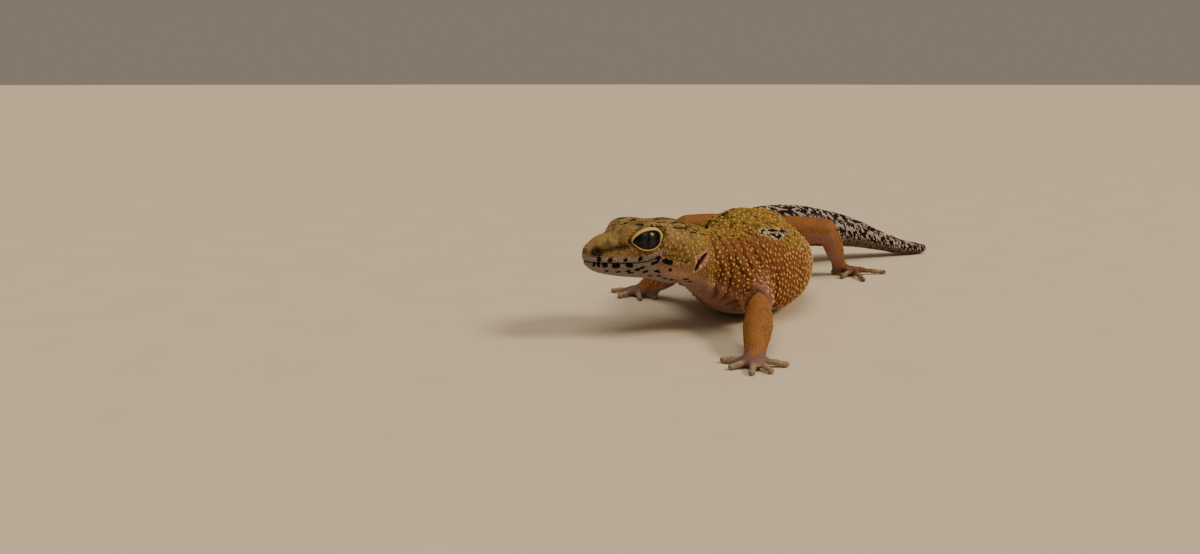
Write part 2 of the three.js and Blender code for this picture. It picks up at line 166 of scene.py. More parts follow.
SPINE_STEP = 0.25
THINNEST = 0.02  # the least half width or height of a section
line = np.arange(0, T + SPINE_STEP / 2, SPINE_STEP)
way = np.radians(heading((line[1:] + line[:-1]) / 2))
plan = np.vstack([[0, 0], -SPINE_STEP * np.cumsum(np.stack([np.cos(way), np.sin(way)], -1), 0)])
print("spine of", T, "mm, which spans", np.round(np.ptp(plan, axis=0), 1), "mm in plan")


# %% The body's surface
def spine_frame(s):
    """At distance s: the spine's point, with the axis height, and the ways to the left and forwards."""
    turn = np.radians(heading(s))
    centre = np.stack([np.interp(s, line, plan[:, 0]), np.interp(s, line, plan[:, 1]), axis_height(s)], -1)
    left = np.stack([-np.sin(turn), np.cos(turn), 0 * turn], -1)
    ahead = np.stack([np.cos(turn), np.sin(turn), 0 * turn], -1)
    return centre, left, ahead


def beside(s, side, height):
    """The point at a height, so far to the left of the spine at distance s."""
    centre, left, _ = spine_frame(np.array(float(s)))
    return np.array([*(centre + side * left)[:2], height])


def body_surface(s, angle, inset=0.0):
    """The section's point at `angle` is (w sgn(cos)|cos|^(2/n), h sgn(sin)|sin|^(2/n)) from the spine."""
    centre, left, _ = spine_frame(s)
    c, z = np.cos(angle), np.sin(angle)
    power = np.where(z > 0, square_above(s), square_below(s))
    height = np.where(z > 0, above(s), below(s))
    wide = np.maximum(half_width(s) - inset, THINNEST) * np.sign(c) * np.abs(c) ** (2 / power)
    tall = np.maximum(height - inset, THINNEST) * np.sign(z) * np.abs(z) ** (2 / power)
    return centre + wide[..., None] * left + tall[..., None] * np.array([0, 0, 1.0])


# The curve starts at the snout, and the solids lie round the middle of their box, so the plan moves to meet
# them. A solid ends half a gap short of the cut between it and the next one.
PART_GAP = 0.3
TRUNK_CUTS, TAIL_CUTS = (41, 114), (139, 164)
around = turns(96)
moves = []
for node, (start, end) in [("trunk", TRUNK_CUTS), ("tail_middle", TAIL_CUTS)]:
    rows = np.linspace(start + PART_GAP / 2, end - PART_GAP / 2, 120)
    made = body_surface(*np.meshgrid(rows, around, indexing="ij")).reshape(-1, 3)
    solid = np.array(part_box(node)) / MM
    moves.append((solid.mean(0) - (made.min(0) + made.max(0)) / 2)[:2])
plan += np.mean(moves, axis=0)
print("snout tip at", np.round(plan[0], 2), "mm; the two fits differ by", np.round(moves[0] - moves[1], 3))

# %% [markdown]
# ## Shells
#
# The flesh is made of simple closed shells that run into one another: the body's own surface, a tube for
# each length of leg, a flat ball for each palm and a thin tube for each toe. A tube is a ring carried along
# a line, with its radius shrinking over the last stretch so that both ends are round. The legs could be
# subdivided boxes pulled to shape by hand, but rings keep each one's thickness in a formula.


# %% Rings into closed shells
def outward(points, faces):
    """The faces, all turned round if the shell's volume, a sum over its corners, comes out negative."""
    a, b, c = (points[faces[:, i]] for i in (0, 1, 2))
    volume = (a * np.cross(b, c)).sum()
    if faces.shape[1] == 4:
        volume += (a * np.cross(c, points[faces[:, 3]])).sum()
    return faces if volume > 0 else faces[:, ::-1]


def close_rings(rings):
    """Points and triangles of a shell from rings (n, m, 3): each cell between two rings is two triangles,
    and a fan closes each end."""
    n, m, _ = rings.shape
    centre = rings.mean((0, 1))
    points = np.vstack([rings.reshape(-1, 3), rings[0].mean(0), rings[-1].mean(0)])
    row, col = np.meshgrid(np.arange(n - 1), np.arange(m), indexing="ij")
    a, b = row * m + col, row * m + (col + 1) % m
    walls = np.concatenate([np.stack([a, b, b + m], -1), np.stack([a, b + m, a + m], -1)]).reshape(-1, 3)
    i, j = np.arange(m), (np.arange(m) + 1) % m
    first = np.stack([np.full(m, n * m), j, i], -1)
    last = np.stack([np.full(m, n * m + 1), i + (n - 1) * m, j + (n - 1) * m], -1)
    faces = np.concatenate([walls, first, last])
    return points, outward(points - centre, faces)


def path(points, count):
    """A smooth line through a few points: cubics, whose slope at a point is half the way from the point
    before it to the one after it."""
    points = np.asarray(points, float)
    slopes = np.gradient(points, axis=0)
    t = np.linspace(0, len(points) - 1, count)
    k = np.minimum(t.astype(int), len(points) - 2)
    t = (t - k)[:, None]
    ends = points[k] * (1 + 2 * t) * (1 - t) ** 2 + points[k + 1] * (3 - 2 * t) * t**2
    return ends + t * (1 - t) * (slopes[k] * (1 - t) - slopes[k + 1] * t)


def tube(middle, radius, sides=20):
    """Rings round a line. Where the distance d to an end is less than the radius, the ring has the radius
    times sqrt(1 - (1 - d / radius)^2), which rounds the end."""
    lengths = np.append(0, np.cumsum(np.linalg.norm(np.diff(middle, axis=0), axis=1)))
    nearest = np.minimum(lengths, lengths[-1] - lengths)
    round_off = np.sqrt(np.clip(1 - np.clip(1 - nearest / radius, 0, 1) ** 2, 0.0004, 1))
    tangent = unit(np.gradient(middle, axis=0))
    side = unit(np.cross([0, 0, 1.0], tangent) + 1e-6)
    up = np.cross(tangent, side)
    turn = turns(sides)
    ring = np.cos(turn)[None, :, None] * side[:, None] + np.sin(turn)[None, :, None] * up[:, None]
    return middle[:, None] + (radius * round_off)[:, None, None] * ring


def spaced(count):
    """Shares from 0 to 1, closer together near both ends: (1 - cos(pi v)) / 2."""
    return (1 - np.cos(np.pi * np.linspace(0, 1, count))) / 2


def ball(centre, radii, turn, rows=24, sides=32):
    """An ellipsoid of rings, turned `turn` degrees about the vertical."""
    v, u = np.meshgrid(spaced(rows) * np.pi, turns(sides), indexing="ij")
    x, y, z = np.cos(v), np.sin(v) * np.cos(u), np.sin(v) * np.sin(u)
    c, s = math.cos(math.radians(turn)), math.sin(math.radians(turn))
    x, y, z = x * radii[0], y * radii[1], z * radii[2]
    return np.stack([c * x - s * y, s * x + c * y, z], -1) + centre


# %% [markdown]
# ## The legs
#
# A gecko's leg leaves the body sideways, bends at the elbow or knee, and comes down to a palm whose five
# toes fan out on the ground. Each leg is a root in the body, two bones given by a compass heading and a
# length, and a palm. The bones' ends and the toes' tips are worked out from these once, and the tubes, the
# measurements and the claws all use them.

# %% Leg sizes
PALM_RADIUS = 2.9
PALM_THICKNESS = 1.9
PALM_HEIGHT = 1.7
TOE_RADIUS = 0.8
TOE_AXIS = TOE_RADIUS - 0.12  # the height of a toe's middle line at its tip
KNUCKLE_SHARE, KNUCKLE_HEIGHT = 0.55, TOE_RADIUS + 0.5
CLAW_LENGTH = 1.0
# A bone is its heading, its length, the height of its lower end, and its radii at both ends. The palm is a
# heading and how far its middle lies beyond the ankle. A toe is a heading and its reach, with the claw.
LEGS = {
    "front_left": {
        "root": (44, 7.5, 13.2),
        "upper": (44, 18.3, 8.2, (6.2, 3.4)), "lower": (34, 14.8, 3.2, (3.8, 3.3)),
        "palm": (36, 3.4), "toes": [(-65, 8.6), (-20, 7.4), (32, 7.8), (75, 7.2), (133, 8.4)],
    },
    "front_right": {
        "root": (44, -7.5, 13.2),
        "upper": (-114, 17.0, 10.0, (6.2, 3.4)), "lower": (-90, 13.6, 3.2, (3.8, 3.3)),
        "palm": (-70, 3.4), "toes": [(94, 8.8), (54, 8.2), (-6, 7.8), (-71, 9.2), (-126, 9.0)],
    },
    "hind_left": {
        "root": (105.4, 4.1, 15.0),
        "upper": (122, 19.2, 16.8, (6.0, 4.1)), "lower": (-172, 17.0, 3.6, (3.5, 2.8)),
        "palm": (135, 4.6), "toes": [(-50, 7.6), (8, 9.6), (50, 12.2), (142, 12.2), (-172, 9.4)],
    },
    "hind_right": {
        "root": (106, -5.6, 15.0),
        "upper": (-42, 19.4, 16.6, (6.0, 4.1)), "lower": (-143, 17.0, 3.6, (3.5, 2.8)),
        "palm": (-105, 3.8), "toes": [(0, 7.6), (-34, 9.6), (-66, 12.2), (-106, 12.2), (-158, 9.4)],
    },
}


def compass(degrees):
    """The level unit vector on a compass heading: (cos, sin, 0)."""
    return np.array([math.cos(math.radians(degrees)), math.sin(math.radians(degrees)), 0])


def bone_end(start, degrees, length, height):
    """Where a bone ends that leaves `start` on a heading and reaches `height`, by Pythagoras."""
    flat = math.sqrt(length**2 - (height - start[2]) ** 2)
    end = start + flat * compass(degrees)
    end[2] = height
    return end


for leg in LEGS.values():
    leg["hip"] = beside(*leg["root"])
    leg["knee"] = bone_end(leg["hip"], *leg["upper"][:3])
    leg["ankle"] = bone_end(leg["knee"], *leg["lower"][:3])
    leg["hand"] = leg["ankle"] + leg["palm"][1] * compass(leg["palm"][0])
    leg["hand"][2] = PALM_HEIGHT
    leg["tips"] = [leg["hand"] + (reach - CLAW_LENGTH) * compass(degrees) for degrees, reach in leg["toes"]]
    for tip in leg["tips"]:
        tip[2] = TOE_AXIS
for name, leg in LEGS.items():
    solid = np.array(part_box("foot_" + name)).mean(0) / MM
    off = np.linalg.norm((leg["hand"] - solid)[:2])
    print(name, "palm is", np.round(off, 1), "mm from the middle of its solid")

# %% [markdown]
# ## One skin over all the flesh
#
# The shells cross one another, and a skin has no such seams. A voxel remesh keeps only what can be seen
# from outside and lays even squares over it, which is also what the folds and lids need later. Booleans
# would leave long thin faces at each joint. The squares are then relaxed, most where a leg leaves the body,
# so that flesh runs smoothly into flesh. The scales stand on this skin, so it lies inside the solids by
# their depth.

# %% Shells of the flesh
COAT_DEPTH = 0.3
BONE_COVER = 0.75  # how far the flesh reaches past a bone's ends, in shares of its radius
PALM_STRETCH = 0.5  # how much longer a palm is than it is wide
TOE_ROOT = 1.6  # the height of a toe's middle line in the palm
TOE_LOST = 0.75  # what the remesh takes off a toe's tip
TOE_FLARE, TOE_SPARE = 0.2, 0.12  # a toe is wider at the palm, and all of it by what the remesh takes
EYE_RADIUS = 3.8
LID_THICKNESS = 0.7
LID_STRETCH, LID_TURN = 1.5, 22  # the lids' swelling is drawn out lengthwise and turned inwards in front
EYE = {"s": 14.5, "side": 4.9, "height": 26.0, "forward": 12.0, "up": 6.0}


def eye_frame(hand):
    """The eye's middle, and the ways forwards, up and out of it. The right eye's hand is -1."""
    _, left, ahead = spine_frame(np.array(EYE["s"]))
    turn = math.radians(EYE["forward"])
    out = hand * left * math.cos(turn) + ahead * math.sin(turn)
    out = unit(out + np.array([0, 0, math.tan(math.radians(EYE["up"]))]))
    front = unit(ahead - out * (ahead @ out))
    return beside(EYE["s"], hand * EYE["side"], EYE["height"]), front, np.cross(front, out) * hand, out


def shells():
    """All the closed shells of the flesh, as (points, triangles)."""
    rows = T * spaced(400)[1:-1]
    yield close_rings(body_surface(*np.meshgrid(rows, around, indexing="ij"), inset=COAT_DEPTH))
    lid = EYE_RADIUS + PART_GAP + LID_THICKNESS - COAT_DEPTH
    for hand in (1, -1):
        turn = heading(EYE["s"]) - hand * LID_TURN
        yield close_rings(ball(eye_frame(hand)[0], (lid + LID_STRETCH, lid, lid), turn))
    for leg in LEGS.values():
        for a, b, key in [("hip", "knee", "upper"), ("knee", "ankle", "lower")]:
            thick = np.array(leg[key][3])
            along = unit(leg[b] - leg[a])
            start, end = leg[a] - BONE_COVER * thick[0] * along, leg[b] + BONE_COVER * thick[1] * along
            share = spaced(40)[:, None]
            radius = thick[0] + (thick[1] - thick[0]) * share[:, 0] - COAT_DEPTH
            yield close_rings(tube(start + (end - start) * share, radius, 28))
        depth = COAT_DEPTH / 2
        radii = (PALM_RADIUS + PALM_STRETCH - depth, PALM_RADIUS - depth, PALM_THICKNESS - depth)
        yield close_rings(ball(leg["hand"], radii, leg["palm"][0]))
        for tip in leg["tips"]:
            knuckle = leg["hand"] + KNUCKLE_SHARE * (tip - leg["hand"])
            knuckle[2] = KNUCKLE_HEIGHT
            start = leg["hand"] * [1, 1, 0] + [0, 0, TOE_ROOT]
            beyond = tip + TOE_LOST * unit((tip - leg["hand"]) * [1, 1, 0])
            share = spaced(30)
            middle = path([start, knuckle, beyond], 60)
            middle = np.stack([np.interp(share, np.linspace(0, 1, 60), middle[:, i]) for i in range(3)], -1)
            yield close_rings(tube(middle, TOE_RADIUS + TOE_FLARE * (1 - share) + TOE_SPARE, 18))


def joined(parts):
    """Several (points, faces) as one: each part's corners are counted on from the part before it."""
    points, faces, count = [], [], 0
    for p, f in parts:
        points.append(p)
        faces.append(f + count)
        count += len(p)
    return np.vstack(points), np.vstack(faces)


def read(items, key, width=3, kind=np.float32):
    """One value of each of a mesh's vertices, edges or triangles, as rows of numbers."""
    found = np.empty(len(items) * width, kind)
    items.foreach_get(key, found)
    return found.reshape(-1, width)


def write(items, key, values, kind=np.float32):
    """Sets one value of each of a mesh's vertices, corners or faces."""
    items.foreach_set(key, np.asarray(values, kind).ravel())


def mesh_of(name, points, faces, scale=MM):
    """A mesh with smooth faces from points in millimetres and the corners of triangles or squares."""
    mesh = bpy.data.meshes.new(name)
    mesh.vertices.add(len(points))
    write(mesh.vertices, "co", points * scale)
    mesh.loops.add(faces.size)
    write(mesh.loops, "vertex_index", faces, np.int32)
    mesh.polygons.add(len(faces))
    write(mesh.polygons, "loop_start", np.arange(0, faces.size, faces.shape[1]), np.int32)
    write(mesh.polygons, "use_smooth", np.ones(len(faces)), bool)
    mesh.update(calc_edges=True)
    return mesh


def piece_of(name, mesh):
    """An object for a mesh, at the origin and unturned, so that its place is in its mesh."""
    made = bpy.data.objects.new(name, mesh)
    bpy.context.scene.collection.objects.link(made)
    return made


flesh_points, flesh_faces = joined(shells())
print(len(flesh_faces), "triangles of shells,", np.round(np.ptp(flesh_points, axis=0), 1), "mm")

# %% The remesh
VOXEL = 0.60


def remeshed(points, faces, size):
    """Even squares of about `size` over the outside of the shells, from the Remesh modifier's voxels."""
    scratch = piece_of("scratch", mesh_of("scratch", points, faces, 1.0))
    modifier = scratch.modifiers.new("voxels", "REMESH")
    modifier.mode = "VOXEL"
    modifier.voxel_size = size
    bpy.context.view_layer.update()
    made = bpy.data.meshes.new_from_object(scratch.evaluated_get(bpy.context.evaluated_depsgraph_get()))
    bpy.data.objects.remove(scratch)
    return made


def points_in(mesh):
    """A mesh's vertices as an array."""
    return read(mesh.vertices, "co").astype(float)


skin_mesh = remeshed(flesh_points, flesh_faces, VOXEL)
print("skin of", len(skin_mesh.vertices), "points and", len(skin_mesh.polygons), "faces")

# %% [markdown]
# ## Where each point of the skin lies
#
# Folds and markings are placed by the animal, not by the room: so far from the snout, so far round, on
# which leg. Each point's nearest place on the spine gives the first two. Its nearest leg bone gives the
# leg, how far down it lies (0 at the hip or shoulder, 1 at the knee or elbow, 2 at the ankle, 3 at a toe's
# tip) and how near the bone.


# %% Measuring the skin
FRONT_LEFT, FRONT_RIGHT = 0, 1  # the arms' numbers among the legs; the hind legs are 2 and 3
SLEEVE_LEFT, SLEEVE_RIGHT, SLEEVE_SLANT = 0.72, 0.36, 0.20
LIMB_RISE, LIMB_REACH, SNOUT_CLEAR = (0.3, 2.4), (12, 8), 20


def past_sleeve(place):
    """How far down an arm lies beyond the edge of the loose body skin round its top, which is shaped like a
    V turned over: its point lies on top of the arm, and its sides run down to the elbow. The right arm
    reaches forwards, which draws the skin off more of it."""
    edge = np.where(place["leg"] == FRONT_RIGHT, SLEEVE_RIGHT, SLEEVE_LEFT)
    return place["down"] - edge - SLEEVE_SLANT * np.abs(np.abs(place["turn"]) / (np.pi / 2) - 1)


def side_angle(place):
    """The angle up the body's side, on whichever side it lies: -90 under the belly, 90 on the back."""
    angle = place["angle"]
    return np.where(np.abs(angle) > 90, np.sign(angle) * (180 - np.abs(angle)), angle)


def measure(points):
    """For each point: s, side and rise from the spine, the angle in degrees, how far out of the body's own
    surface it lies, the arc length from the ridge of the back, and the nearest leg, its toe (1 to 5, or 0),
    how far down it, how far from the bone and which way round. `limb` is 1 on a leg's shape: out of the
    body, near a bone and behind the snout. `bare` is 1 only where it has a leg's own skin."""
    near = np.empty(len(points), int)
    coarse = plan[::2]
    for i in range(0, len(points), 20000):
        gap = points[i:i + 20000, None, :2] - coarse[None]
        near[i:i + 20000] = (gap**2).sum(-1).argmin(1)
    s = line[::2][near]
    for _ in range(2):
        centre, left, ahead = spine_frame(s)
        s = np.clip(s - ((points - centre) * ahead).sum(-1), 0, T)
    centre, left, ahead = spine_frame(s)
    side = ((points - centre) * left).sum(-1)
    rise = points[:, 2] - centre[:, 2]
    w = np.maximum(half_width(s), 0.3)
    h = np.maximum(np.where(rise > 0, above(s), below(s)), 0.3)
    power = np.where(rise > 0, square_above(s), square_below(s))
    ratio = (np.abs(side / w) ** power + np.abs(rise / h) ** power) ** (1 / power)
    reach = np.hypot(side, rise)
    found = {"s": s, "side": side, "rise": rise, "angle": np.degrees(np.arctan2(rise / h, side / w))}
    found["out"] = reach * (1 - 1 / np.maximum(ratio, 0.05))
    found["arc"] = np.radians(found["angle"] - 90) * (w + h) / 2
    found.update({key: np.zeros(len(points)) for key in ("leg", "toe", "down", "turn")})
    found["bone"] = np.full(len(points), 1e9)
    for number, leg in enumerate(LEGS.values()):
        bones = [(leg["hip"], leg["knee"], 0, 0), (leg["knee"], leg["ankle"], 1, 0)]
        bones += [(leg["hand"], tip, 2, toe + 1) for toe, tip in enumerate(leg["tips"])]
        for a, b, start, toe in bones:
            share = np.clip(((points - a) @ (b - a)) / ((b - a) @ (b - a)), 0, 1)
            off = points - a - share[:, None] * (b - a)
            gap = np.linalg.norm(off, axis=1)
            across = unit(np.cross([0, 0, 1.0], b - a))
            turn = np.arctan2(off @ np.cross(unit(b - a), across), off @ across)
            closer = gap < found["bone"]
            now = {"bone": gap, "leg": number, "toe": toe, "down": start + share, "turn": turn}
            found.update({key: np.where(closer, value, found[key]) for key, value in now.items()})
    found["limb"] = step(*LIMB_RISE, found["out"]) * step(*LIMB_REACH, found["bone"]) * (s > SNOUT_CLEAR)
    found["foot"] = found["limb"] * step(1.8, 2.0, found["down"])
    sleeve = np.where(found["leg"] > FRONT_RIGHT, 1.0, step(-0.03, 0.03, past_sleeve(found)))
    found["bare"] = found["limb"] * sleeve
    return found


def edges_of(mesh):
    """The two ends of every edge."""
    return read(mesh.edges, "vertices", 2, np.int32)


def relax(points, edges, times, share):
    """Each point moves a share of the way to the mean of its neighbours, several times over."""
    a, b = np.concatenate([edges, edges[:, ::-1]]).T
    count = np.bincount(a, minlength=len(points))[:, None]
    for _ in range(times):
        mean = np.stack([np.bincount(a, points[b, i], len(points)) for i in range(3)], -1) / count
        points = points + np.reshape(share, (-1, 1)) * (mean - points)
    return points


points = points_in(skin_mesh)
edges = edges_of(skin_mesh)
place = measure(points)
joint = bell(place["out"] - 0.6, 2.2) * step(11, 7, place["bone"]) * (place["s"] > 34)
elbow = bell(place["down"] - 1, 0.25) * place["limb"] * 0.6
wrist = bell(np.abs(place["down"] - 2.05), 0.25) * place["limb"] * 0.5
points = relax(points, edges, 4, np.full(len(points), 0.5))
points = relax(points, edges, 30, np.clip(joint + elbow + wrist, 0, 0.8))
print("joints relaxed over", int((joint > 0.3).sum()), "points")

# %% [markdown]
# ## Finer squares where the animal is finest
#
# Toes need squares half the size of the rest, and lids, lips, nostrils and ears a quarter. Making the whole
# skin that fine would cost ten times the faces, so only the squares in those places are divided. The toes
# lost some of their roundness to the voxels, so their points are put back at the toe's own radius.


# %% Dividing squares
def divided(mesh, points, chosen):
    """The mesh's points, after each edge whose two ends are chosen is cut in half, and squares in four."""
    grown = bmesh.new()
    write(mesh.vertices, "co", points)
    grown.from_mesh(mesh)
    grown.verts.ensure_lookup_table()
    cut = [e for e in grown.edges if chosen[e.verts[0].index] and chosen[e.verts[1].index]]
    bmesh.ops.subdivide_edges(grown, edges=cut, cuts=1, use_grid_fill=True)
    bmesh.ops.triangulate(grown, faces=[f for f in grown.faces if len(f.verts) > 4])
    grown.to_mesh(mesh)
    grown.free()
    mesh.update(calc_edges=True)
    return points_in(mesh)


mouth_height = profile([(0, 21.0), (5, 20.9), (9, 20.8), (13, 21.0), (14.5, 21.4), (16, 22.1), (17.5, 22.8)])
HEAD_END = 31
MOUTH_END = 17.2
NOSTRIL = {"s": 2.3, "side": 3.6, "height": 23.9}
MUZZLE_PATCH = {"s": 2.3, "side": 3.6, "height": 23.6}
BROW = {"s": 10.2, "side": 5.3, "height": 28.9}
EAR_TOP, EAR_FOOT, EAR_BOW = (28.2, 22.4), (25.7, 18.7), 0.5
EAR_SIDE = 6  # an ear is at least this far out from the middle of the head


def near_point(points, spot):
    """How far each point lies from a place on the head, on the nearer side of it."""
    spots = [beside(spot["s"], hand * spot["side"], spot["height"]) for hand in (1, -1)]
    return np.minimum(*(np.linalg.norm(points - spot, axis=1) for spot in spots))


def near_ear(place, points):
    """How far each point lies from the ear's slit, a slanted and bowed line seen from the side. The gap is
    divided by a width that falls from 1 in the middle of the slit to 0.45 at its ends."""
    run, drop = EAR_FOOT[0] - EAR_TOP[0], EAR_FOOT[1] - EAR_TOP[1]
    back, up = place["s"] - EAR_TOP[0], points[:, 2] - EAR_TOP[1]
    along = np.clip((back * run + up * drop) / (run**2 + drop**2), 0, 1)
    middle = np.sin(np.pi * along)
    return np.hypot(back - along * run + EAR_BOW * middle, up - along * drop) / (0.45 + 0.55 * middle)


def bezier(start, curves, count):
    """A closed outline of cubic Bezier stretches, each of three points, from where the last stretch ended:
    p0 (1 - t)^3 + 3 p1 (1 - t)^2 t + 3 p2 (1 - t) t^2 + p3 t^3."""
    t = np.linspace(0, 1, count, endpoint=False)[:, None]
    found, p0 = [], np.array(start)
    for p1, p2, p3 in np.array(curves):
        rest = 1 - t
        found.append(p0 * rest**3 + 3 * p1 * rest**2 * t + 3 * p2 * rest * t**2 + p3 * t**3)
        p0 = p3
    return np.vstack(found)


ORBIT = 8  # the skin this near to an eye's middle can belong to its lids
# The opening between the lids, seen square on: x runs to the snout and y up. Its front corner is sharp.
LID_OPENING = bezier((3.6, -0.1), [
    ((2.9, 1.3), (1.5, 2.3), (-0.7, 2.45)), ((-2.5, 2.5), (-3.4, 1.9), (-3.3, 0.6)),
    ((-3.2, -1.1), (-1.9, -2.1), (-0.1, -2.15)), ((1.5, -2.15), (2.8, -1.3), (3.6, -0.1)),
], 24)


def from_outline(flat, outline):
    """How far each flat point lies outside the outline, negative inside, and the nearest point of the
    outline. The distance is to the nearest stretch. The sign comes from how often a level ray crosses the
    outline."""
    a, b = outline, np.roll(outline, -1, axis=0)
    off = flat[:, None] - a
    share = np.clip((off * (b - a)).sum(-1) / ((b - a) ** 2).sum(-1), 0, 1)
    nearest = a + share[..., None] * (b - a)
    gap = np.linalg.norm(flat[:, None] - nearest, axis=-1)
    best = gap.argmin(1)
    crosses = (a[:, 1] > flat[:, None, 1]) != (b[:, 1] > flat[:, None, 1])
    with np.errstate(divide="ignore", invalid="ignore"):
        where = a[:, 0] + (flat[:, None, 1] - a[:, 1]) / (b[:, 1] - a[:, 1]) * (b[:, 0] - a[:, 0])
    inside = (crosses & (flat[:, None, 0] < where)).sum(1) % 2 == 1
    rows = np.arange(len(flat))
    return np.where(inside, -gap[rows, best], gap[rows, best]), nearest[rows, best]


def lid_measure(points):
    """How far each point lies outside the nearer eye's lid opening, in the plane square to its gaze."""
    found = np.full(len(points), 50.0)
    for hand in (1, -1):
        middle, front, up, out = eye_frame(hand)
        off = points - middle
        near = (np.linalg.norm(off, axis=1) < ORBIT) & (off @ out > 0)
        flat = np.stack([off[near] @ front, off[near] @ up], -1)
        found[near] = from_outline(flat, LID_OPENING)[0]
    return found


def face_zone(place, points, lid, lip, pit):
    """Where the face is fine: within `lid` of the lids' edge, `lip` of the mouth, `pit` of a nostril or
    ear."""
    head = (place["s"] < HEAD_END) & (place["limb"] < 0.5)
    mouth = (np.abs(points[:, 2] - mouth_height(place["s"])) < lip) & (place["s"] < MOUTH_END + lip)
    eye = np.abs(lid_measure(points)) < lid
    ear = (near_ear(place, points) < pit) & (np.abs(place["side"]) > EAR_SIDE)
    pits = (near_point(points, NOSTRIL) < pit) | ear
    return head & (mouth | eye | pits)


TOE_TAPER, TOE_PADS, TOE_SCALES = 0.15, 0.08, 0.14


def rounded_toes(points, place):
    """Toe points moved to the toe's own radius from its bone, most towards the tip. The radius tapers,
    swells three times along the toe for its pads, as a cosine, and leaves room for the scales."""
    share = place["down"] - 2
    wanted = TOE_RADIUS + TOE_TAPER * (1 - share) + TOE_PADS * np.cos(share * 6 * np.pi) - TOE_SCALES
    legs = list(LEGS.values())
    moved = points.copy()
    for number, leg in enumerate(legs):
        for toe, tip in enumerate(leg["tips"]):
            on = (place["leg"] == number) & (place["toe"] == toe + 1) & (share > 0.3) & (share < 0.985)
            on &= place["foot"] > 0.5
            bone = leg["hand"] + share[on, None] * (tip - leg["hand"])
            beyond = np.clip((share[on] - KNUCKLE_SHARE) / (1 - KNUCKLE_SHARE), 0, 1)
            bone[:, 2] = TOE_AXIS + (KNUCKLE_HEIGHT - TOE_AXIS) * (1 - beyond)
            off = points[on] - bone
            target = bone + unit(off) * wanted[on, None]
            moved[on] += step(0.3, 0.6, share[on])[:, None] * 0.9 * (target - points[on])
    return moved


NECK_FOLDS = (30.5, 43)
FACE_REACHES = [(2.6, 2.0, 2.2), (1.2, 0.7, 1.3), (0.35, 0.0, 0.0)]  # each division reaches less far
points = divided(skin_mesh, points, place["foot"] > 0.5)
place = measure(points)
points = relax(points, edges_of(skin_mesh), 1, 0.3 * place["foot"])
print("skin of", len(points), "points with divided feet")
steep = np.abs(np.sin(np.radians(place["angle"])))
neck = (place["s"] > NECK_FOLDS[0]) & (place["s"] < NECK_FOLDS[1]) & (steep < 0.82) & (place["bare"] < 0.5)
points = divided(skin_mesh, points, neck)
place = measure(points)
for reaches in FACE_REACHES:
    points = divided(skin_mesh, points, face_zone(place, points, *reaches))
    place = measure(points)
    face = face_zone(place, points, *(reach + 0.3 for reach in reaches))
    points = relax(points, edges_of(skin_mesh), 2, 0.4 * face)
points = rounded_toes(points, place)
socket = bell(near_point(points, EYE) - 6.2, 1.6) * (place["limb"] < 0.5)
points = relax(points, edges_of(skin_mesh), 60, 0.6 * socket)
place = measure(points)
print("skin of", len(points), "points with divided face")

# %% [markdown]
# ## Face, folds and wrinkles
#
# The skin now gets its modelling: each feature is a ridge or a groove at a known place, added up and then
# moved along the skin's normals. On the head these are the ridge from brow to nostril, the hollow below it,
# the lips, the bulge of the jaw muscle, the nostrils and the ear slits. Behind it the skin is too large for
# the animal, as on any lizard that bends: it hangs in folds round the neck and in front of the arms, and
# creases at elbows and knees. A fold's section is 1 minus the size of a sine, cubed: broad rounded bulges
# with narrow grooves between them. A displacement texture could do it, but it wouldn't know where the
# animal bends.


# %% Relief of the head
def normals_of(mesh, points):
    """The normals of the mesh's vertices once they are at these points."""
    write(mesh.vertices, "co", points)
    mesh.update()
    return read(mesh.vertices, "normal").astype(float)


def head_relief(place, points):
    """How far the head's points rise, in millimetres: the sum of its ridges and hollows, each a height
    times bells and steps that say where it lies."""
    s, side, z, angle = place["s"], np.abs(place["side"]), points[:, 2], side_angle(place)
    # The ridge from brow to nostril, and the hollow below it.
    rise = 0.30 * bell(z - 25.9 - 0.26 * (s - 4), 0.75) * step(3, 5.5, s) * step(11, 8.5, s)
    rise -= 0.42 * bell(s - 7.0, 2.8) * bell(z - 24.3, 1.1) * (side > 3)
    # The furrow down the snout, the dip between the eyes, the brows, and the dips before and behind them.
    rise -= 0.25 * bell(side, 1.7) * step(3, 6, s) * step(14, 10, s) * (angle > 40)
    rise -= 1.0 * bell(side, 2.3) * bell(s - 14.0, 4.2) * (angle > 40)
    rise += 0.85 * bell(near_point(points, BROW), 2.4)
    rise -= 0.60 * bell(s - 6.6, 2.2) * step(25, 40, angle) + 0.5 * bell(s - 19.5, 3.5) * step(35, 60, angle)
    # Both lips, and the line of the mouth between them.
    lip = z - mouth_height(s)
    lips = step(MOUTH_END + 0.6, MOUTH_END - 1.2, s)
    rise += lips * (0.16 * bell(lip - 0.85, 0.5) + 0.14 * bell(lip + 0.8, 0.5) - 0.42 * bell(lip, 0.15))
    # The jaw muscle, and the crease behind the mouth with the fold below it.
    rise += 0.35 * bell(s - 22.5, 4.0) * bell(angle - 18, 24)
    crease = z - 22.6 + 0.30 * (s - 17.5)
    behind_mouth = step(16.5, 18, s) * step(25, 23, s)
    rise += behind_mouth * (0.20 * bell(crease + 1.2, 0.8) - 0.30 * bell(crease, 0.45))
    # Nostrils and ears: a raised edge round a pit.
    nostril, ear = near_point(points, NOSTRIL), near_ear(place, points)
    rise += 0.16 * bell(nostril - 0.85, 0.3) - 0.8 * step(0.55, 0.2, nostril)
    rise += step(EAR_SIDE, EAR_SIDE + 1.5, side) * (0.30 * bell(ear - 1.3, 0.5) - 1.2 * step(0.9, 0.0, ear))
    return step(33, 30, s) * (place["limb"] < 0.5) * rise


LIP_PLATE, SEAM_DEPTH = 1.25, 0.09


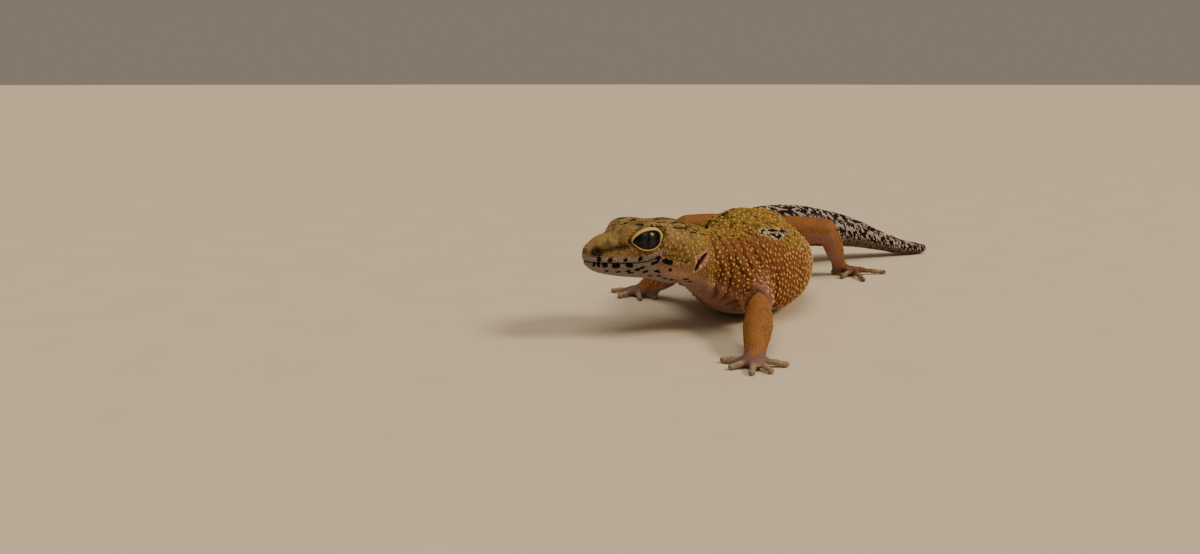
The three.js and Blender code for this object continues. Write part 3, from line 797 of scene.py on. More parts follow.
def labial_seams(place, points):
    """Grooves between the plates along both lips, one plate apart, and one groove beyond each row of
    plates. The upper plates stand a third of a plate ahead of the lower ones."""
    lip = points[:, 2] - mouth_height(place["s"])
    rows = step(MOUTH_END, MOUTH_END - 1.5, place["s"]) * step(1.55, 1.3, np.abs(lip))
    rows *= place["limb"] < 0.5
    between = np.abs(np.sin(np.pi * (place["s"] + 0.4 * (lip > 0)) / LIP_PLATE))
    return -SEAM_DEPTH * rows * ((1 - between) ** 6 + bell(np.abs(lip) - 1.42, 0.12))


# %% Relief of the neck, body, tail and legs
def fold(phase, sharpness=3):
    """Rounded bulges with narrow grooves one phase apart: -(1 - |sin(pi phase)|) to a power."""
    return -((1 - np.abs(np.sin(np.pi * phase))) ** sharpness)


FOLD_WIDTH = 2.3


def neck_folds(place, points):
    """The grooves of the loose neck skin, from 0 on a fold to -1 in a groove: rings round the neck, hanging
    a little backwards low down, and gone over the nape and under the throat. They fade on the arms."""
    s, z, angle = place["s"], points[:, 2], side_angle(place)
    sagging = s + 0.12 * np.minimum(z - 19, 0)
    neck = step(29.5, 32.5, s) * step(50, 43, sagging) * step(85, 55, angle) * step(-85, -60, angle)
    free = (1 - place["bare"]) * (1 - place["limb"] * (0.3 + 0.7 * (place["leg"] == FRONT_RIGHT)))
    return neck * free * fold(sagging / FOLD_WIDTH + 0.2 * waves(points, 9.0, 3), 1.6)


def body_relief(place, points):
    """How far the neck's, trunk's and tail's points rise."""
    s, angle = place["s"], side_angle(place)
    wander = waves(points, 9.0, 3) * 0.5
    # The neck's folds, deepest low down, and the deep crease where the head ends.
    rise = (0.7 + 0.5 * step(-5, -30, angle)) * neck_folds(place, points)
    rise -= 0.55 * bell(s - 31.3 - 0.25 * wander, 0.7) * step(70, 35, angle) * step(-50, -20, angle)
    # Hollows and shallow folds on the flanks, and closer folds at the hips.
    flank = step(46, 54, s) * step(106, 98, s) * step(80, 40, angle)
    rise += flank * (0.16 * waves(points * [1, 1, 0.5], 7.0, 5) + 0.12 * fold(s / 5.2 + 0.3 * wander, 2))
    hip = bell(s - 106, 7) * step(80, 50, np.abs(angle))
    rise += 0.22 * hip * fold(s / 3.1 + 0.3 * wander, 3)
    # The rings of the tail, and the furrow along the spine.
    rise += 0.16 * step(116, 128, s) * step(188, 170, s) * fold(s / 4.6, 5)
    rise -= 0.35 * bell(place["side"], 1.4) * step(60, 80, angle) * step(44, 60, s)
    return (1 - place["bare"]) * rise


def leg_relief(place, points):
    """How far the legs' points rise: the swell of forearm and calf, the creases at elbow, knee, wrist and
    ankle, the rings along the toes, and the thick edge of the sleeve of body skin, with a groove beyond
    it."""
    down = place["down"]
    shank = 0.28 * bell(down - 1.35, 0.22) - 0.10 * bell(down - 1.86, 0.12) + 0.2 * bell(down - 0.45, 0.3)
    crease = 0.06 * bell(down - 1.0, 0.14) * fold(down / 0.075 + 0.15 * waves(points, 5.0, 8), 2)
    crease += 0.08 * bell(down - 1.93, 0.10) * fold(down / 0.06, 2)
    toes = 0.11 * step(2.35, 2.5, down) * fold(down / 0.105, 2)
    past, front = past_sleeve(place), step(0.9, 2.2, place["turn"])
    arm = (place["leg"] <= FRONT_RIGHT) * step(-0.3, 0.6, place["turn"])
    sleeve = (0.12 + 0.38 * front) * step(-0.30, -0.05, past) * step(0.02, -0.03, past)
    sleeve -= (0.12 + 0.50 * front) * bell(past - 0.02, 0.03)
    sleeve *= np.where(place["leg"] == FRONT_RIGHT, 0.25, 1.0)
    return place["limb"] * (shank + crease + toes + arm * sleeve)


points = points + head_relief(place, points)[:, None] * normals_of(skin_mesh, points)
relief = body_relief(place, points) + leg_relief(place, points) + labial_seams(place, points)
points = points + relief[:, None] * normals_of(skin_mesh, points)
print("relief from", np.round(relief.min(), 2), "to", np.round(relief.max(), 2), "mm")

# %% [markdown]
# ## Lids
#
# A gecko of this kind has real lids, pale and swollen at the edge, which meet in a sharp corner in front.
# The skin near each eye is laid on spheres round the eye's middle: inside the opening it dives behind the
# eyeball, at the edge it rises in a rounded rim, and beyond a small groove it runs back into the head.
# Points close to the opening's outline move onto it, so that the edge is clean.

# %% Laying the lids round the eyes
RIM_WIDTH, RIM_HEIGHT = 0.68, 0.34
SNAP_INSIDE, SNAP_OUTSIDE = -0.09, 0.06  # a point this near to the opening's outline moves onto it
BEHIND_EYE = 0.45  # how deep in the eyeball the skin lies inside the opening
LID_CLEARANCE = 0.12
LID_SLOPE = 1.3
SOLE_CLEARANCE = 0.08
lid_rim = np.zeros(len(points))
for hand in (1, -1):
    middle, front, up, out = eye_frame(hand)
    off = points - middle
    near = np.flatnonzero((np.linalg.norm(off, axis=1) < ORBIT) & (off @ out > 0.3) & (place["limb"] < 0.5))
    off = off[near]
    x, y, reach = off @ front, off @ up, np.linalg.norm(off, axis=1)
    gap, edge = from_outline(np.stack([x, y], -1), LID_OPENING)
    snapped = (gap > SNAP_INSIDE) & (gap < SNAP_OUTSIDE)
    x, y = np.where(snapped, edge[:, 0], x), np.where(snapped, edge[:, 1], y)
    gap = np.where(snapped, 0.0, gap)
    upper = step(-0.5, 1.2, y)
    width = RIM_WIDTH * (0.36 + 0.74 * upper)
    share = np.clip(gap / width, 0, 1)
    rim = (RIM_HEIGHT + 0.12 * upper) * np.sqrt(np.clip(1 - (2 * share - 1) ** 2, 0, 1))
    rim -= 0.16 * bell(gap - width - 0.12, 0.16)
    blend = step(width + LID_SLOPE, 0, gap)
    radius = rim + (EYE_RADIUS + LID_CLEARANCE) * blend + reach * (1 - blend)
    radius = np.where(gap < 0, EYE_RADIUS - BEHIND_EYE, radius)
    depth = np.sqrt(np.clip(radius**2 - x**2 - y**2, 0.01, None))
    laid = middle + x[:, None] * front + y[:, None] * up + depth[:, None] * out
    points[near] = np.where((gap < width + LID_SLOPE)[:, None], laid, points[near])
    lid_rim[near] = np.maximum(lid_rim[near], step(-0.25, 0.0, gap) * step(width + 0.15, width - 0.1, gap))
print("lid rims over", int((lid_rim > 0.5).sum()), "points")
points[:, 2] = np.maximum(points[:, 2], SOLE_CLEARANCE)
normals = normals_of(skin_mesh, points)
place = measure(points)

# %% [markdown]
# ## One set of markings for skin and scales
#
# The animal is olive yellow on the back and orange brown on the flanks, with a pale lilac belly, black
# spots along the lips and jaw, short black streaks on the crown, a few on the back and one cluster with a
# pale edge on each flank. From the hips on the ground colour turns to pale lilac under a net of black. The
# legs are plain orange. All of this is measured here for any point of the skin, as a handful of numbers:
# how far into a region it lies, and how far from the nearest black mark. Skin and scales store the same
# numbers, so their colours meet. A painted map would have to be flattened and would blur up close;
# distances stay sharp at any size.

# %% Black marks
def lean_marks(seed, count, s_range, angle_range, lengths, widths, lean=25):
    """Rows of (s, angle, half length, half width, lean), drawn evenly at random in the ranges given."""
    rng = np.random.default_rng(seed)
    columns = [rng.uniform(*pair, count) for pair in (s_range, angle_range, lengths, widths, (-lean, lean))]
    return np.stack(columns, -1)


def apart(marks, gap):
    """The marks, without each one that lies within a gap of an earlier one, in distances along and round."""
    spots = np.stack([marks[:, 0], np.radians(marks[:, 1]) * half_width(marks[:, 0])], -1)
    kept = []
    for i, spot in enumerate(spots):
        if all(np.hypot(*(spot - spots[j])) > gap for j in kept):
            kept.append(i)
    return marks[kept]


# Spots of the lips and jaw: along the upper lip, along the lower lip, and two sparser rows below.
LIP_SPOTS = np.array([
    (2.8, -14, 0.378, 0.432, 0), (5.3, -16, 0.432, 0.486, 20), (8.8, -17, 0.378, 0.378, 0),
    (12.2, -14, 0.486, 0.54, -20), (16.4, -12, 0.486, 0.324, 30), (2, -38, 0.27, 0.486, 0),
    (2.9, -32, 0.324, 0.54, 10), (4.3, -31, 0.54, 0.41, 20), (6.8, -31, 0.864, 0.594, 0),
    (9.9, -29, 0.81, 0.486, -15), (12.9, -34, 0.81, 0.389, 30), (12, -40, 0.486, 0.41, 0),
    (15.6, -22, 0.81, 0.41, 30), (5, -52, 0.454, 0.281, -10), (7.8, -50, 0.54, 0.281, 10),
    (10.1, -45, 0.486, 0.302, 20), (14.3, -42, 0.486, 0.324, 20), (16.9, -40, 0.486, 0.454, 0),
    (10.8, -50, 0.54, 0.27, 15), (13.9, -47, 0.324, 0.302, 0), (15.9, -55, 0.454, 0.324, 0),
    (17.8, -51, 0.41, 0.324, 0), (19.6, -54, 0.54, 0.302, 0), (21.2, -53, 0.54, 0.324, 10),
    (22.6, -57, 0.432, 0.281, 30), (24.4, -47, 0.594, 0.389, 20), (26, -53, 0.486, 0.259, 0),
    (18.6, -17, 1.026, 0.648, -10), (19.6, -31, 0.324, 0.324, 0),
])
FLANK_MARKS = np.array([
    (47.2, 52, 1.0, 0.42, 10), (51.2, 49, 2.1, 0.42, -6), (48.9, 45, 1.2, 0.42, -15),
    (51.9, 41.5, 1.8, 0.48, 10), (55.4, 44.5, 1.4, 0.5, -20),
])


RIGHT_FLANK = [9, 4, 0, 0, 0]  # how far back and round the right flank's cluster is moved
MARK_SPREAD = [0.5, 2.5, 0.05, 0.03, 8]


def other_side(marks, seed):
    """The marks on the right side, each a little out of its mirrored place, as no animal is symmetrical."""
    rng = np.random.default_rng(seed)
    shift = rng.normal(size=marks.shape) * MARK_SPREAD
    return marks * [1, -1, 1, 1, -1] + [0, 180, 0, 0, 0] + shift


flank_marks = np.vstack([FLANK_MARKS, other_side(FLANK_MARKS, 21) + RIGHT_FLANK])
# The streaks of the crown, the marks of the shoulders and of the hips, and a few between them.
black_marks = np.vstack([
    LIP_SPOTS, other_side(LIP_SPOTS, 22), flank_marks,
    apart(lean_marks(31, 240, (11.5, 29), (44, 136), (0.5, 0.9), (0.17, 0.27), 16), 1.5),
    apart(lean_marks(32, 24, (44, 66), (102, 124), (0.9, 1.7), (0.45, 0.7), 15), 2.6),
    lean_marks(33, 9, (84, 104), (76, 108), (0.9, 1.7), (0.35, 0.6), 30),
    lean_marks(34, 5, (62, 84), (60, 120), (0.5, 1.0), (0.25, 0.35)),
])


FAR = 9.0


def nearest_mark(place, marks):
    """Millimetres to the edge of the nearest mark, negative inside: (|(x/a, y/b)| - 1) b for an ellipse of
    half length a and half width b, in distances along and round the body. Legs have no marks."""
    found = np.full(len(place["s"]), FAR)
    for s, angle, length, width, lean in marks:
        size = (half_width(s) + above(s)) / 2
        turned = (place["angle"] - angle + 180) % 360 - 180
        x, y = place["s"] - s, np.radians(turned) * size
        c, n = math.cos(math.radians(lean)), math.sin(math.radians(lean))
        found = np.minimum(found, (np.hypot((x * c + y * n) / length, (y * c - x * n) / width) - 1) * width)
    return found + FAR * place["bare"]


# %% The numbers that the colours read
LEG_LENGTH = 17  # millimetres to one step of `down`, roughly


def markings(points, place, rim):
    """Attributes for any points of the skin, each of three numbers: where they lie, how far into each
    region, and how deep in a hollow, groove or fold that painted shade darkens."""
    s, z, angle, limb = place["s"], points[:, 2], place["angle"], place["bare"]
    side = np.abs(place["side"])
    wander = waves(points, 7.0, 12)
    body_up = np.sin(np.radians(angle))
    up = body_up * (1 - limb) + np.sin(place["turn"]) * limb
    tail = step(103, 117, s + 2.2 * wander) * (1 - limb)
    head = step(34, 27, s + wander) * (1 - limb)
    lip = z - mouth_height(s)
    lips = step(MOUTH_END + 2, MOUTH_END - 2, s) * step(1.9, 1.2, lip) * (1 - limb)
    # Painted shade where the skin turns inwards: the mouth line, the nostrils and the ear openings.
    hollow = lips * bell(lip, 0.13) * step(MOUTH_END + 0.4, MOUTH_END - 0.6, s)
    hollow = np.maximum(hollow, step(0.6, 0.3, near_point(points, NOSTRIL)))
    ear, ear_side = near_ear(place, points), (side > EAR_SIDE) * (limb < 0.5)
    hollow = np.maximum(hollow, step(0.95, 0.5, ear) * ear_side)
    # A dark band from nostril to eye below the ridge: partly the lore's own brown, partly painted shade.
    lore_dark_and_shade = bell(z - (24.0 + 0.22 * (s - 4)), 0.75) * step(1.5, 3, s) * step(10.5, 9, s) * (side > 2)
    # A darker patch round each nostril joins the band.
    muzzle = step(2.3, 1.1, near_point(points, MUZZLE_PATCH))
    pink = bell(s - 22, 5.0) * bell(place["rise"] + 5.4, 1.9) + 0.8 * bell(ear - 1.2, 0.7) * ear_side
    pink = pink + 0.9 * bell(s - 32.5, 5.5) * step(-0.32, -0.62, body_up)
    past, arm = past_sleeve(place), (place["leg"] == FRONT_LEFT) * place["limb"]
    armpit = arm * step(-0.5, -0.2, past) * step(0.15, 0.0, past) * step(2.0, 1.2, np.abs(place["turn"]))
    # Painted shade in the groove at the edge of the sleeve on the left arm.
    groove = arm * bell(past - 0.02, 0.035) * step(-0.3, 1.6, place["turn"])
    stack = {
        "root": tuple(points.T),
        "lie": (s * (1 - limb) + place["down"] * LEG_LENGTH * limb, place["arc"], place["down"]),
        "zone": (tail, limb, head),
        "tone": (up, step(1.4, 1.6, place["leg"]), lips),
        "spot": (nearest_mark(place, black_marks), nearest_mark(place, flank_marks), hollow),
        "fine": (rim, np.maximum(lore_dark_and_shade, muzzle), np.clip(pink, 0, 1) * (1 - limb)),
        # Paler skin in the armpit, then painted shade in the sleeve's groove and between the neck's folds.
        "skinfold": (armpit, groove, -neck_folds(place, points)),
    }
    return {name: np.stack(columns, -1) for name, columns in stack.items()}


def store(mesh, name, values):
    """One attribute of a mesh's points: a number or a vector for each."""
    kind, key = ("FLOAT_VECTOR", "vector") if values.ndim == 2 else ("FLOAT", "value")
    made = mesh.attributes.new(name, kind, "POINT")
    write(made.data, key, values)


SKIN_NODES = [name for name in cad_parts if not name.startswith(("eye_", "claw_"))]
write(skin_mesh.vertices, "co", points * MM)
write(skin_mesh.polygons, "use_smooth", np.ones(len(skin_mesh.polygons)), bool)
skin_mesh.update()
skin_mesh.name = "skin"
for name, values in markings(points, place, lid_rim).items():
    store(skin_mesh, name, values)
skin = piece_of("skin", skin_mesh)
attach(skin, "root")
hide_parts(*SKIN_NODES)
print("skin replaces", len(SKIN_NODES), "solids, with", len(black_marks), "black marks")

# %% [markdown]
# ## Scales
#
# A leopard gecko's skin is a pavement of tiny beads, with larger cones, the tubercles, standing among them
# on the back, the flanks, the temples and the outsides of the legs. Every one is a small closed dome of
# solid mesh, joined with its neighbours into a few pieces. Their places come from throwing many points at
# the skin and keeping those that no kept point is too near to, which packs them as evenly as real scales. A
# particle system could scatter them, but its copies don't outlast an export.

# %% Places for scales
skin_mesh.calc_loop_triangles()
corners = read(skin_mesh.loop_triangles, "vertices", 3, np.int32)
a, b, c = (points[corners[:, i]] for i in range(3))
areas = np.linalg.norm(np.cross(b - a, c - a), axis=1) / 2
blocked = np.maximum(lid_rim > 0.3, markings(points, place, lid_rim)["spot"][:, 2] > 0.3)
for hand in (1, -1):
    middle, front, up, out = eye_frame(hand)
    blocked |= np.linalg.norm(points - middle, axis=1) < EYE_RADIUS + 0.05
shares = areas * ~blocked[corners].any(1)
print("skin of", round(areas.sum()), "square millimetres, in", len(corners), "triangles")


def thrown(count, seed, wanted=None):
    """Points thrown evenly at the skin, with their normals: a triangle in proportion to its area, then a
    place in it from two random numbers."""
    rng = np.random.default_rng(seed)
    weights = shares if wanted is None else shares * wanted[corners].mean(1)
    chosen = rng.choice(len(corners), count, p=weights / weights.sum())
    u, v = rng.random((2, count))
    u, v = np.where(u + v > 1, 1 - u, u), np.where(u + v > 1, 1 - v, v)
    weight = np.stack([1 - u - v, u, v], -1)[..., None]
    return (points[corners[chosen]] * weight).sum(1), unit((normals[corners[chosen]] * weight).sum(1))


def tree_of(spots):
    """A tree in which the spots near a place are quick to find."""
    tree = KDTree(len(spots))
    for i, spot in enumerate(spots):
        tree.insert(spot, i)
    tree.balance()
    return tree


def thinned(spots, gaps):
    """The numbers of the spots that stay when, in turn, each one left removes all others within its gap."""
    tree = tree_of(spots)
    left = np.ones(len(spots), bool)
    kept = []
    for i, spot in enumerate(spots):
        if left[i]:
            kept.append(i)
            for _, other, _ in tree.find_range(spot, gaps[i]):
                left[other] = False
    return np.array(kept)


def settled(count, seed, gap_at, wanted=None):
    """The places and normals of the points thrown at the skin that stay when they are thinned."""
    spots, ways = thrown(count, seed, wanted)
    kept = thinned(spots, gap_at(measure(spots)))
    return spots[kept], ways[kept]


def granule_gap(place):
    """How far apart the granules stand, in millimetres: fine on the head and toes, coarse on belly and
    tail."""
    trunk = 0.60 + 0.12 * step(-0.3, -0.8, np.sin(np.radians(place["angle"])))
    body = trunk + (0.50 - trunk) * step(34, 26, place["s"]) + (0.66 - trunk) * step(108, 120, place["s"])
    return 0.9 * (body * (1 - place["bare"]) + (0.50 - 0.14 * place["foot"]) * place["bare"])


def tubercle_gap(place):
    """How far apart the tubercles stand: closest on the temples and neck, widest on the tail."""
    return 1.06 + 0.24 * step(30, 44, place["s"]) + 0.40 * step(104, 118, place["s"])


def tubercle_share(place):
    """Where tubercles grow, from 0 to 1: the head behind the eyes, neck, back, flanks and tail, but not the
    arms' sleeves, and the outer edges of forearms and shins."""
    s, angle = place["s"], side_angle(place)
    head = step(15, 19, s) * step(-22, -6, angle) * step(31, 29, s) * step(66, 50, angle)
    edge = 8 * step(46, 38, s)
    trunk = step(29, 31, s) * step(edge - 48, edge - 36, angle) * step(174, 160, s)
    hind = place["leg"] > FRONT_RIGHT
    trunk *= 1 - place["limb"] * np.where(hind, 1, step(-0.16, -0.08, past_sleeve(place)))
    outer = np.where(hind, np.sin(place["turn"]) > 0.15, np.abs(place["turn"]) < 0.8)
    leg = outer * step(1.0, 1.15, place["down"]) * step(1.75, 1.6, place["down"])
    return np.maximum(head, trunk) * (1 - place["bare"]) + leg * place["bare"]


CANDIDATES, TUBERCLE_CANDIDATES = 300000, 60000
TUBERCLE_FOOT = 0.46  # no granule's middle is this near to a tubercle's
tubercle_spots, tubercle_ways = settled(TUBERCLE_CANDIDATES, 51, tubercle_gap, tubercle_share(place))
granule_spots, granule_ways = settled(CANDIDATES, 52, granule_gap)
tree = tree_of(tubercle_spots)
clear = np.array([tree.find(spot)[2] > TUBERCLE_FOOT for spot in granule_spots])
granule_spots, granule_ways = granule_spots[clear], granule_ways[clear]
print(len(tubercle_spots), "tubercles and", len(granule_spots), "granules")

# %% [markdown]
# ### One scale, many times
#
# A scale is a ring sunk a little into the skin, one or more rings above it and a tip: a closed dome of 22
# faces for a granule, and 46 for a tubercle. Each copy is stretched to its own size and turned to stand on
# the skin. Its corners store the markings found at its root, so that a scale has one colour, and how high
# up the scale they lie, so that tips can be paler and feet darker with painted shade. Each copy also gets
# a small patch of the piece's UV map, at its root's place on the skin laid out flat: along the body, and
# round it.

# %% Domes and their copies
def dome(sides, rings):
    """A closed dome of points and triangles: rings of (radius, height), a tip at height 1 and a flat
    base."""
    turn = turns(sides)
    shell = [np.stack([r * np.cos(turn), r * np.sin(turn), np.full(sides, h)], -1) for r, h in rings]
    spots = np.vstack([*shell, [[0, 0, 1]]])
    i, j = np.arange(sides), (np.arange(sides) + 1) % sides
    faces = []
    for level in range(len(rings) - 1):
        low, high = level * sides, (level + 1) * sides
        faces += [np.stack([i + low, j + low, j + high], -1), np.stack([i + low, j + high, i + high], -1)]
    last = (len(rings) - 1) * sides
    faces.append(np.stack([i + last, j + last, np.full(sides, len(rings) * sides)], -1))
    inner = np.arange(1, sides - 1)
    faces.append(np.stack([np.zeros(sides - 2, int), inner + 1, inner], -1))
    return spots, np.vstack(faces)


GRANULE = dome(6, [(1, -0.45), (0.74, 0.60)])
TUBERCLE = dome(8, [(1, -0.35), (0.80, 0.32), (0.42, 0.82)])
UNWRAP = 0.00516  # UV units to a millimetre of skin
PATCH = 0.003
SCALE_CLEARANCE = 0.03  # the lowest that a scale reaches over the floor


def unwrapped(place):
    """The place on the skin laid out flat: the body along the map's middle, the legs in a row below."""
    body = np.stack([0.01 + UNWRAP * place["s"], 0.5 + UNWRAP * place["arc"]], -1)
    along = 0.03 + 0.245 * place["leg"] + 0.05 * place["down"] + 0.022 * place["toe"] * (place["down"] > 2)
    limb = np.stack([along, 0.09 + UNWRAP * place["turn"] * place["bone"]], -1)
    return np.where(place["limb"][:, None] > 0.5, limb, body)


def grain(place):
    """Which way scales are drawn out: along the back, and up and down on the neck and flanks."""
    _, _, ahead = spine_frame(place["s"])
    level = np.abs(np.cos(np.radians(place["angle"])))
    flank = step(0.35, 0.75, level)[:, None] * (1 - step(104, 114, place["s"]))[:, None]
    return ahead * (1 - flank) + flank * [0, 0, 1.0]


def scales(name, shape, spots, ways, radii, heights, longer, seed):
    """One piece of many scales. A scale's corner (x, y, z) goes to root + r x t + r y b + h z n, where n is
    the skin's normal at the root, t lies along the grain of the scales and b across it. Each scale is
    `longer` along t, and turned a little by chance."""
    rng = np.random.default_rng(seed)
    shape_points, shape_faces = shape
    count, corners_each = len(spots), len(shape_points)
    found = measure(spots)
    across = unit(np.cross(ways, grain(found) + rng.normal(size=(count, 3)) * 0.25))
    ahead = np.cross(across, ways)
    stretch = longer * rng.uniform(0.92, 1.12, (count, 1, 1))
    x, y, z = (shape_points[:, i][None, :, None] for i in range(3))
    flat = x * ahead[:, None] * stretch + y * across[:, None] / stretch
    made = spots[:, None] + radii[:, None, None] * flat + heights[:, None, None] * z * ways[:, None]
    made[..., 2] = np.maximum(made[..., 2], SCALE_CLEARANCE)
    faces = (shape_faces[None] + (np.arange(count) * corners_each)[:, None, None]).reshape(-1, 3)
    mesh = mesh_of(name, made.reshape(-1, 3), faces)
    for key, values in markings(spots, found, np.zeros(count)).items():
        store(mesh, key, np.repeat(values, corners_each, axis=0))
    luck = np.repeat(rng.random((count, 3)), corners_each, axis=0)
    # The third number is how high up the scale a corner lies, which the finish turns into painted shade.
    luck[:, 2] = np.tile(np.clip(shape_points[:, 2], 0, 1), count)
    store(mesh, "luck", luck)
    map_points = unwrapped(found)[:, None] + PATCH / 2 * shape_points[None, :, :2]
    layer = mesh.uv_layers.new(name="OFBake")
    write(layer.data, "uv", map_points.reshape(-1, 2)[faces.ravel()])
    piece = piece_of(name, mesh)
    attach(piece, "root")
    return piece


# %% The coat
TAIL_START, BELLY_SINE = 112, -0.25


def coat_part(found):
    """Which piece of the coat each scale goes to, as its number in COAT_PARTS."""
    low = np.sin(np.radians(found["angle"])) < BELLY_SINE
    parts = np.select([found["s"] < HEAD_END, found["s"] > TAIL_START, low], [0, 3, 2], 1)
    return np.where(found["limb"] > 0.5, 4 + (found["leg"] > FRONT_RIGHT), parts)


COAT_PARTS = [
    ("head", "head_skin"), ("back", "body_skin"), ("belly", "body_skin"), ("tail", "tail_skin"),
    ("front_legs", "leg_skin"), ("hind_legs", "leg_skin"),
]
rng = np.random.default_rng(61)
granule_place, tubercle_place = measure(granule_spots), measure(tubercle_spots)
granule_sizes = 0.60 * granule_gap(granule_place) * rng.uniform(0.85, 1.1, len(granule_spots))
granule_heights = (0.09 + 0.05 * rng.random(len(granule_spots))) * (1 - 0.45 * granule_place["foot"])
s = tubercle_place["s"]
tubercle_sizes = (0.50 + 0.08 * step(32, 46, s)) * rng.uniform(0.8, 1.12, len(s))
tubercle_sizes *= 1 - 0.25 * step(104, 118, s) * (1 - tubercle_place["limb"])
top = step(0.5, 0.9, np.sin(np.radians(tubercle_place["angle"])))
tubercle_heights = tubercle_sizes * (0.36 + 0.48 * step(30, 44, s)) * (1 - 0.3 * top)
# Each kind: its shape, its places on the skin and ways up, its sizes, and how much longer than wide it is.
KINDS = {
    "granules": (GRANULE, (granule_spots, granule_ways, granule_sizes, granule_heights), 1.0),
    "tubercles": (TUBERCLE, (tubercle_spots, tubercle_ways, tubercle_sizes, tubercle_heights), 1.22),
}
parts_of = {"granules": coat_part(granule_place), "tubercles": coat_part(tubercle_place)}
coat = []
for number, (part, slot) in enumerate(COAT_PARTS):
    for kind, (shape, columns, longer) in KINDS.items():
        mine = parts_of[kind] == number
        piece = scales(f"{kind}_{part}", shape, *(column[mine] for column in columns), longer, 70 + number)
        coat.append(piece)
        print(piece.name, int(mine.sum()), "scales,", len(piece.data.polygons), "faces")

# %% [markdown]
# ## Writing a material as sums
#
# A material is a network of nodes, and one that is drawn by hand soon can't be read. Here a `Wire` stands
# for one value in the network, and the usual signs on wires add the nodes: `1 - mask` is a Math node. A
# `Finish` is the material itself. It makes every other node with one method, and puts the end of a sum into
# the shader.


# %% Wires and finishes
class Wire:
    """One socket's value, on which + - * / and abs add Math nodes."""

    def __init__(self, finish, socket):
        self.finish, self.socket = finish, socket

    def maths(self, operation, first, second):
        return self.finish.node("ShaderNodeMath", {"operation": operation}, {0: first, 1: second})

    def __add__(self, other):
        return self.maths("ADD", self, other)

    def __sub__(self, other):
        return self.maths("SUBTRACT", self, other)

    def __rsub__(self, other):
        return self.maths("SUBTRACT", other, self)

    def __mul__(self, other):
        return self.maths("MULTIPLY", self, other)

    def __truediv__(self, other):
        return self.maths("DIVIDE", self, other)

    def __abs__(self):
        return self.maths("ABSOLUTE", self, 0)

    __radd__, __rmul__ = __add__, __mul__

    def least(self, other):
        return self.maths("MINIMUM", self, other)

    def fade(self, low, high):
        """0 at low, 1 at high, smooth between; low may be above high."""
        values = {0: self, 1: low, 2: high, 3: 0, 4: 1}
        return self.finish.node("ShaderNodeMapRange", {"interpolation_type": "SMOOTHSTEP"}, values)


class Finish:
    """A material and its shader. `node` adds any node: its type, its settings, then its inputs."""

    def __init__(self, name):
        self.material = bpy.data.materials.new(name)
        self.material.use_nodes = True
        self.tree = self.material.node_tree
        self.shader = self.tree.nodes["Principled BSDF"]

    def node(self, kind, settings=None, inputs=None, output=0):
        made = self.tree.nodes.new(kind)
        for key, value in (settings or {}).items():
            setattr(made, key, value)
        self.fill(made, inputs or {})
        return Wire(self, made.outputs[output])

    def fill(self, node, inputs):
        """Each input of the node gets a wire or a plain value."""
        for key, value in inputs.items():
            if isinstance(value, Wire):
                self.tree.links.new(value.socket, node.inputs[key])
            else:
                node.inputs[key].default_value = value

    def ends(self, **inputs):
        """Fills the shader's own inputs: Base_Color=... goes to its Base Color."""
        self.fill(self.shader, {key.replace("_", " "): value for key, value in inputs.items()})
        return self.material

    def attribute(self, name):
        """The three numbers that a mesh stores at each point under a name."""
        return self.node("ShaderNodeAttribute", {"attribute_name": name}, output=1)

    def place(self):
        """The place on the piece, in metres, from the texture coordinates' Object output."""
        return self.node("ShaderNodeTexCoord", output=3)

    def split(self, vector):
        """The three numbers of a vector."""
        first = self.node("ShaderNodeSeparateXYZ", {}, {0: vector})
        return [Wire(self, first.socket.node.outputs[i]) for i in range(3)]

    def joined(self, x, y, z):
        """A vector of three numbers."""
        return self.node("ShaderNodeCombineXYZ", {}, {0: x, 1: y, 2: z})

    def noise(self, vector, size, detail=2.0, roughness=0.5):
        """Cloudy values round 0.5, with clouds `size` across."""
        inputs = {"Vector": vector, "Scale": 1 / size, "Detail": detail, "Roughness": roughness}
        return self.node("ShaderNodeTexNoise", {}, inputs)

    def dots(self, vector, size):
        """The distance to the nearest of many random points `size` apart, as a share of that size."""
        return self.node("ShaderNodeTexVoronoi", {"feature": "F1"}, {"Vector": vector, "Scale": 1 / size})

    def blend(self, first, second, share):
        """A colour between two, `share` of the way to the second."""
        return self.node("ShaderNodeMix", {"data_type": "RGBA"}, {0: share, 6: first, 7: second}, 2)

    def scaled(self, colour, amount):
        """A colour times a number, lighter above 1 and darker below."""
        return self.node("ShaderNodeVectorMath", {"operation": "SCALE"}, {0: colour, 3: amount})

    def bump(self, height, distance):
        """A normal from a height of 0 to 1 that stands for a distance in millimetres."""
        inputs = {"Strength": 1.0, "Distance": distance * MM, "Height": height}
        return self.node("ShaderNodeBump", {}, inputs)


def tint(red, green, blue):
    """A colour from its screen values, each divided by 255 to give v and turned into ((v + 0.055) /
    1.055)^2.4."""
    return (*(((v / 255 + 0.055) / 1.055) ** 2.4 for v in (red, green, blue)), 1.0)


# %% [markdown]
# ## The coat's colours
#
# Ground colours come first, each faded into the next by the stored numbers and a little noise: orange brown
# flanks, an olive yellow back, a pale belly, and the head's own browns, with a dark band from nostril to eye
# below the ridge that is partly painted shade. Over them go the net of the tail, painted shade in the neck's
# folds, the black marks, painted shade in the groove at the left arm's sleeve, the lid rims, and last
# painted shade in the mouth line, the nostrils and the ears. One function wires all this for the skin and
# for the scales. The body's skin between the scales is darker, as painted shade. On a scale the tip is paler
# and the
# foot darker: painted shade from foot to tip, with the tubercles' own pale tips over it. This is what makes
# a gecko's back look beaded.

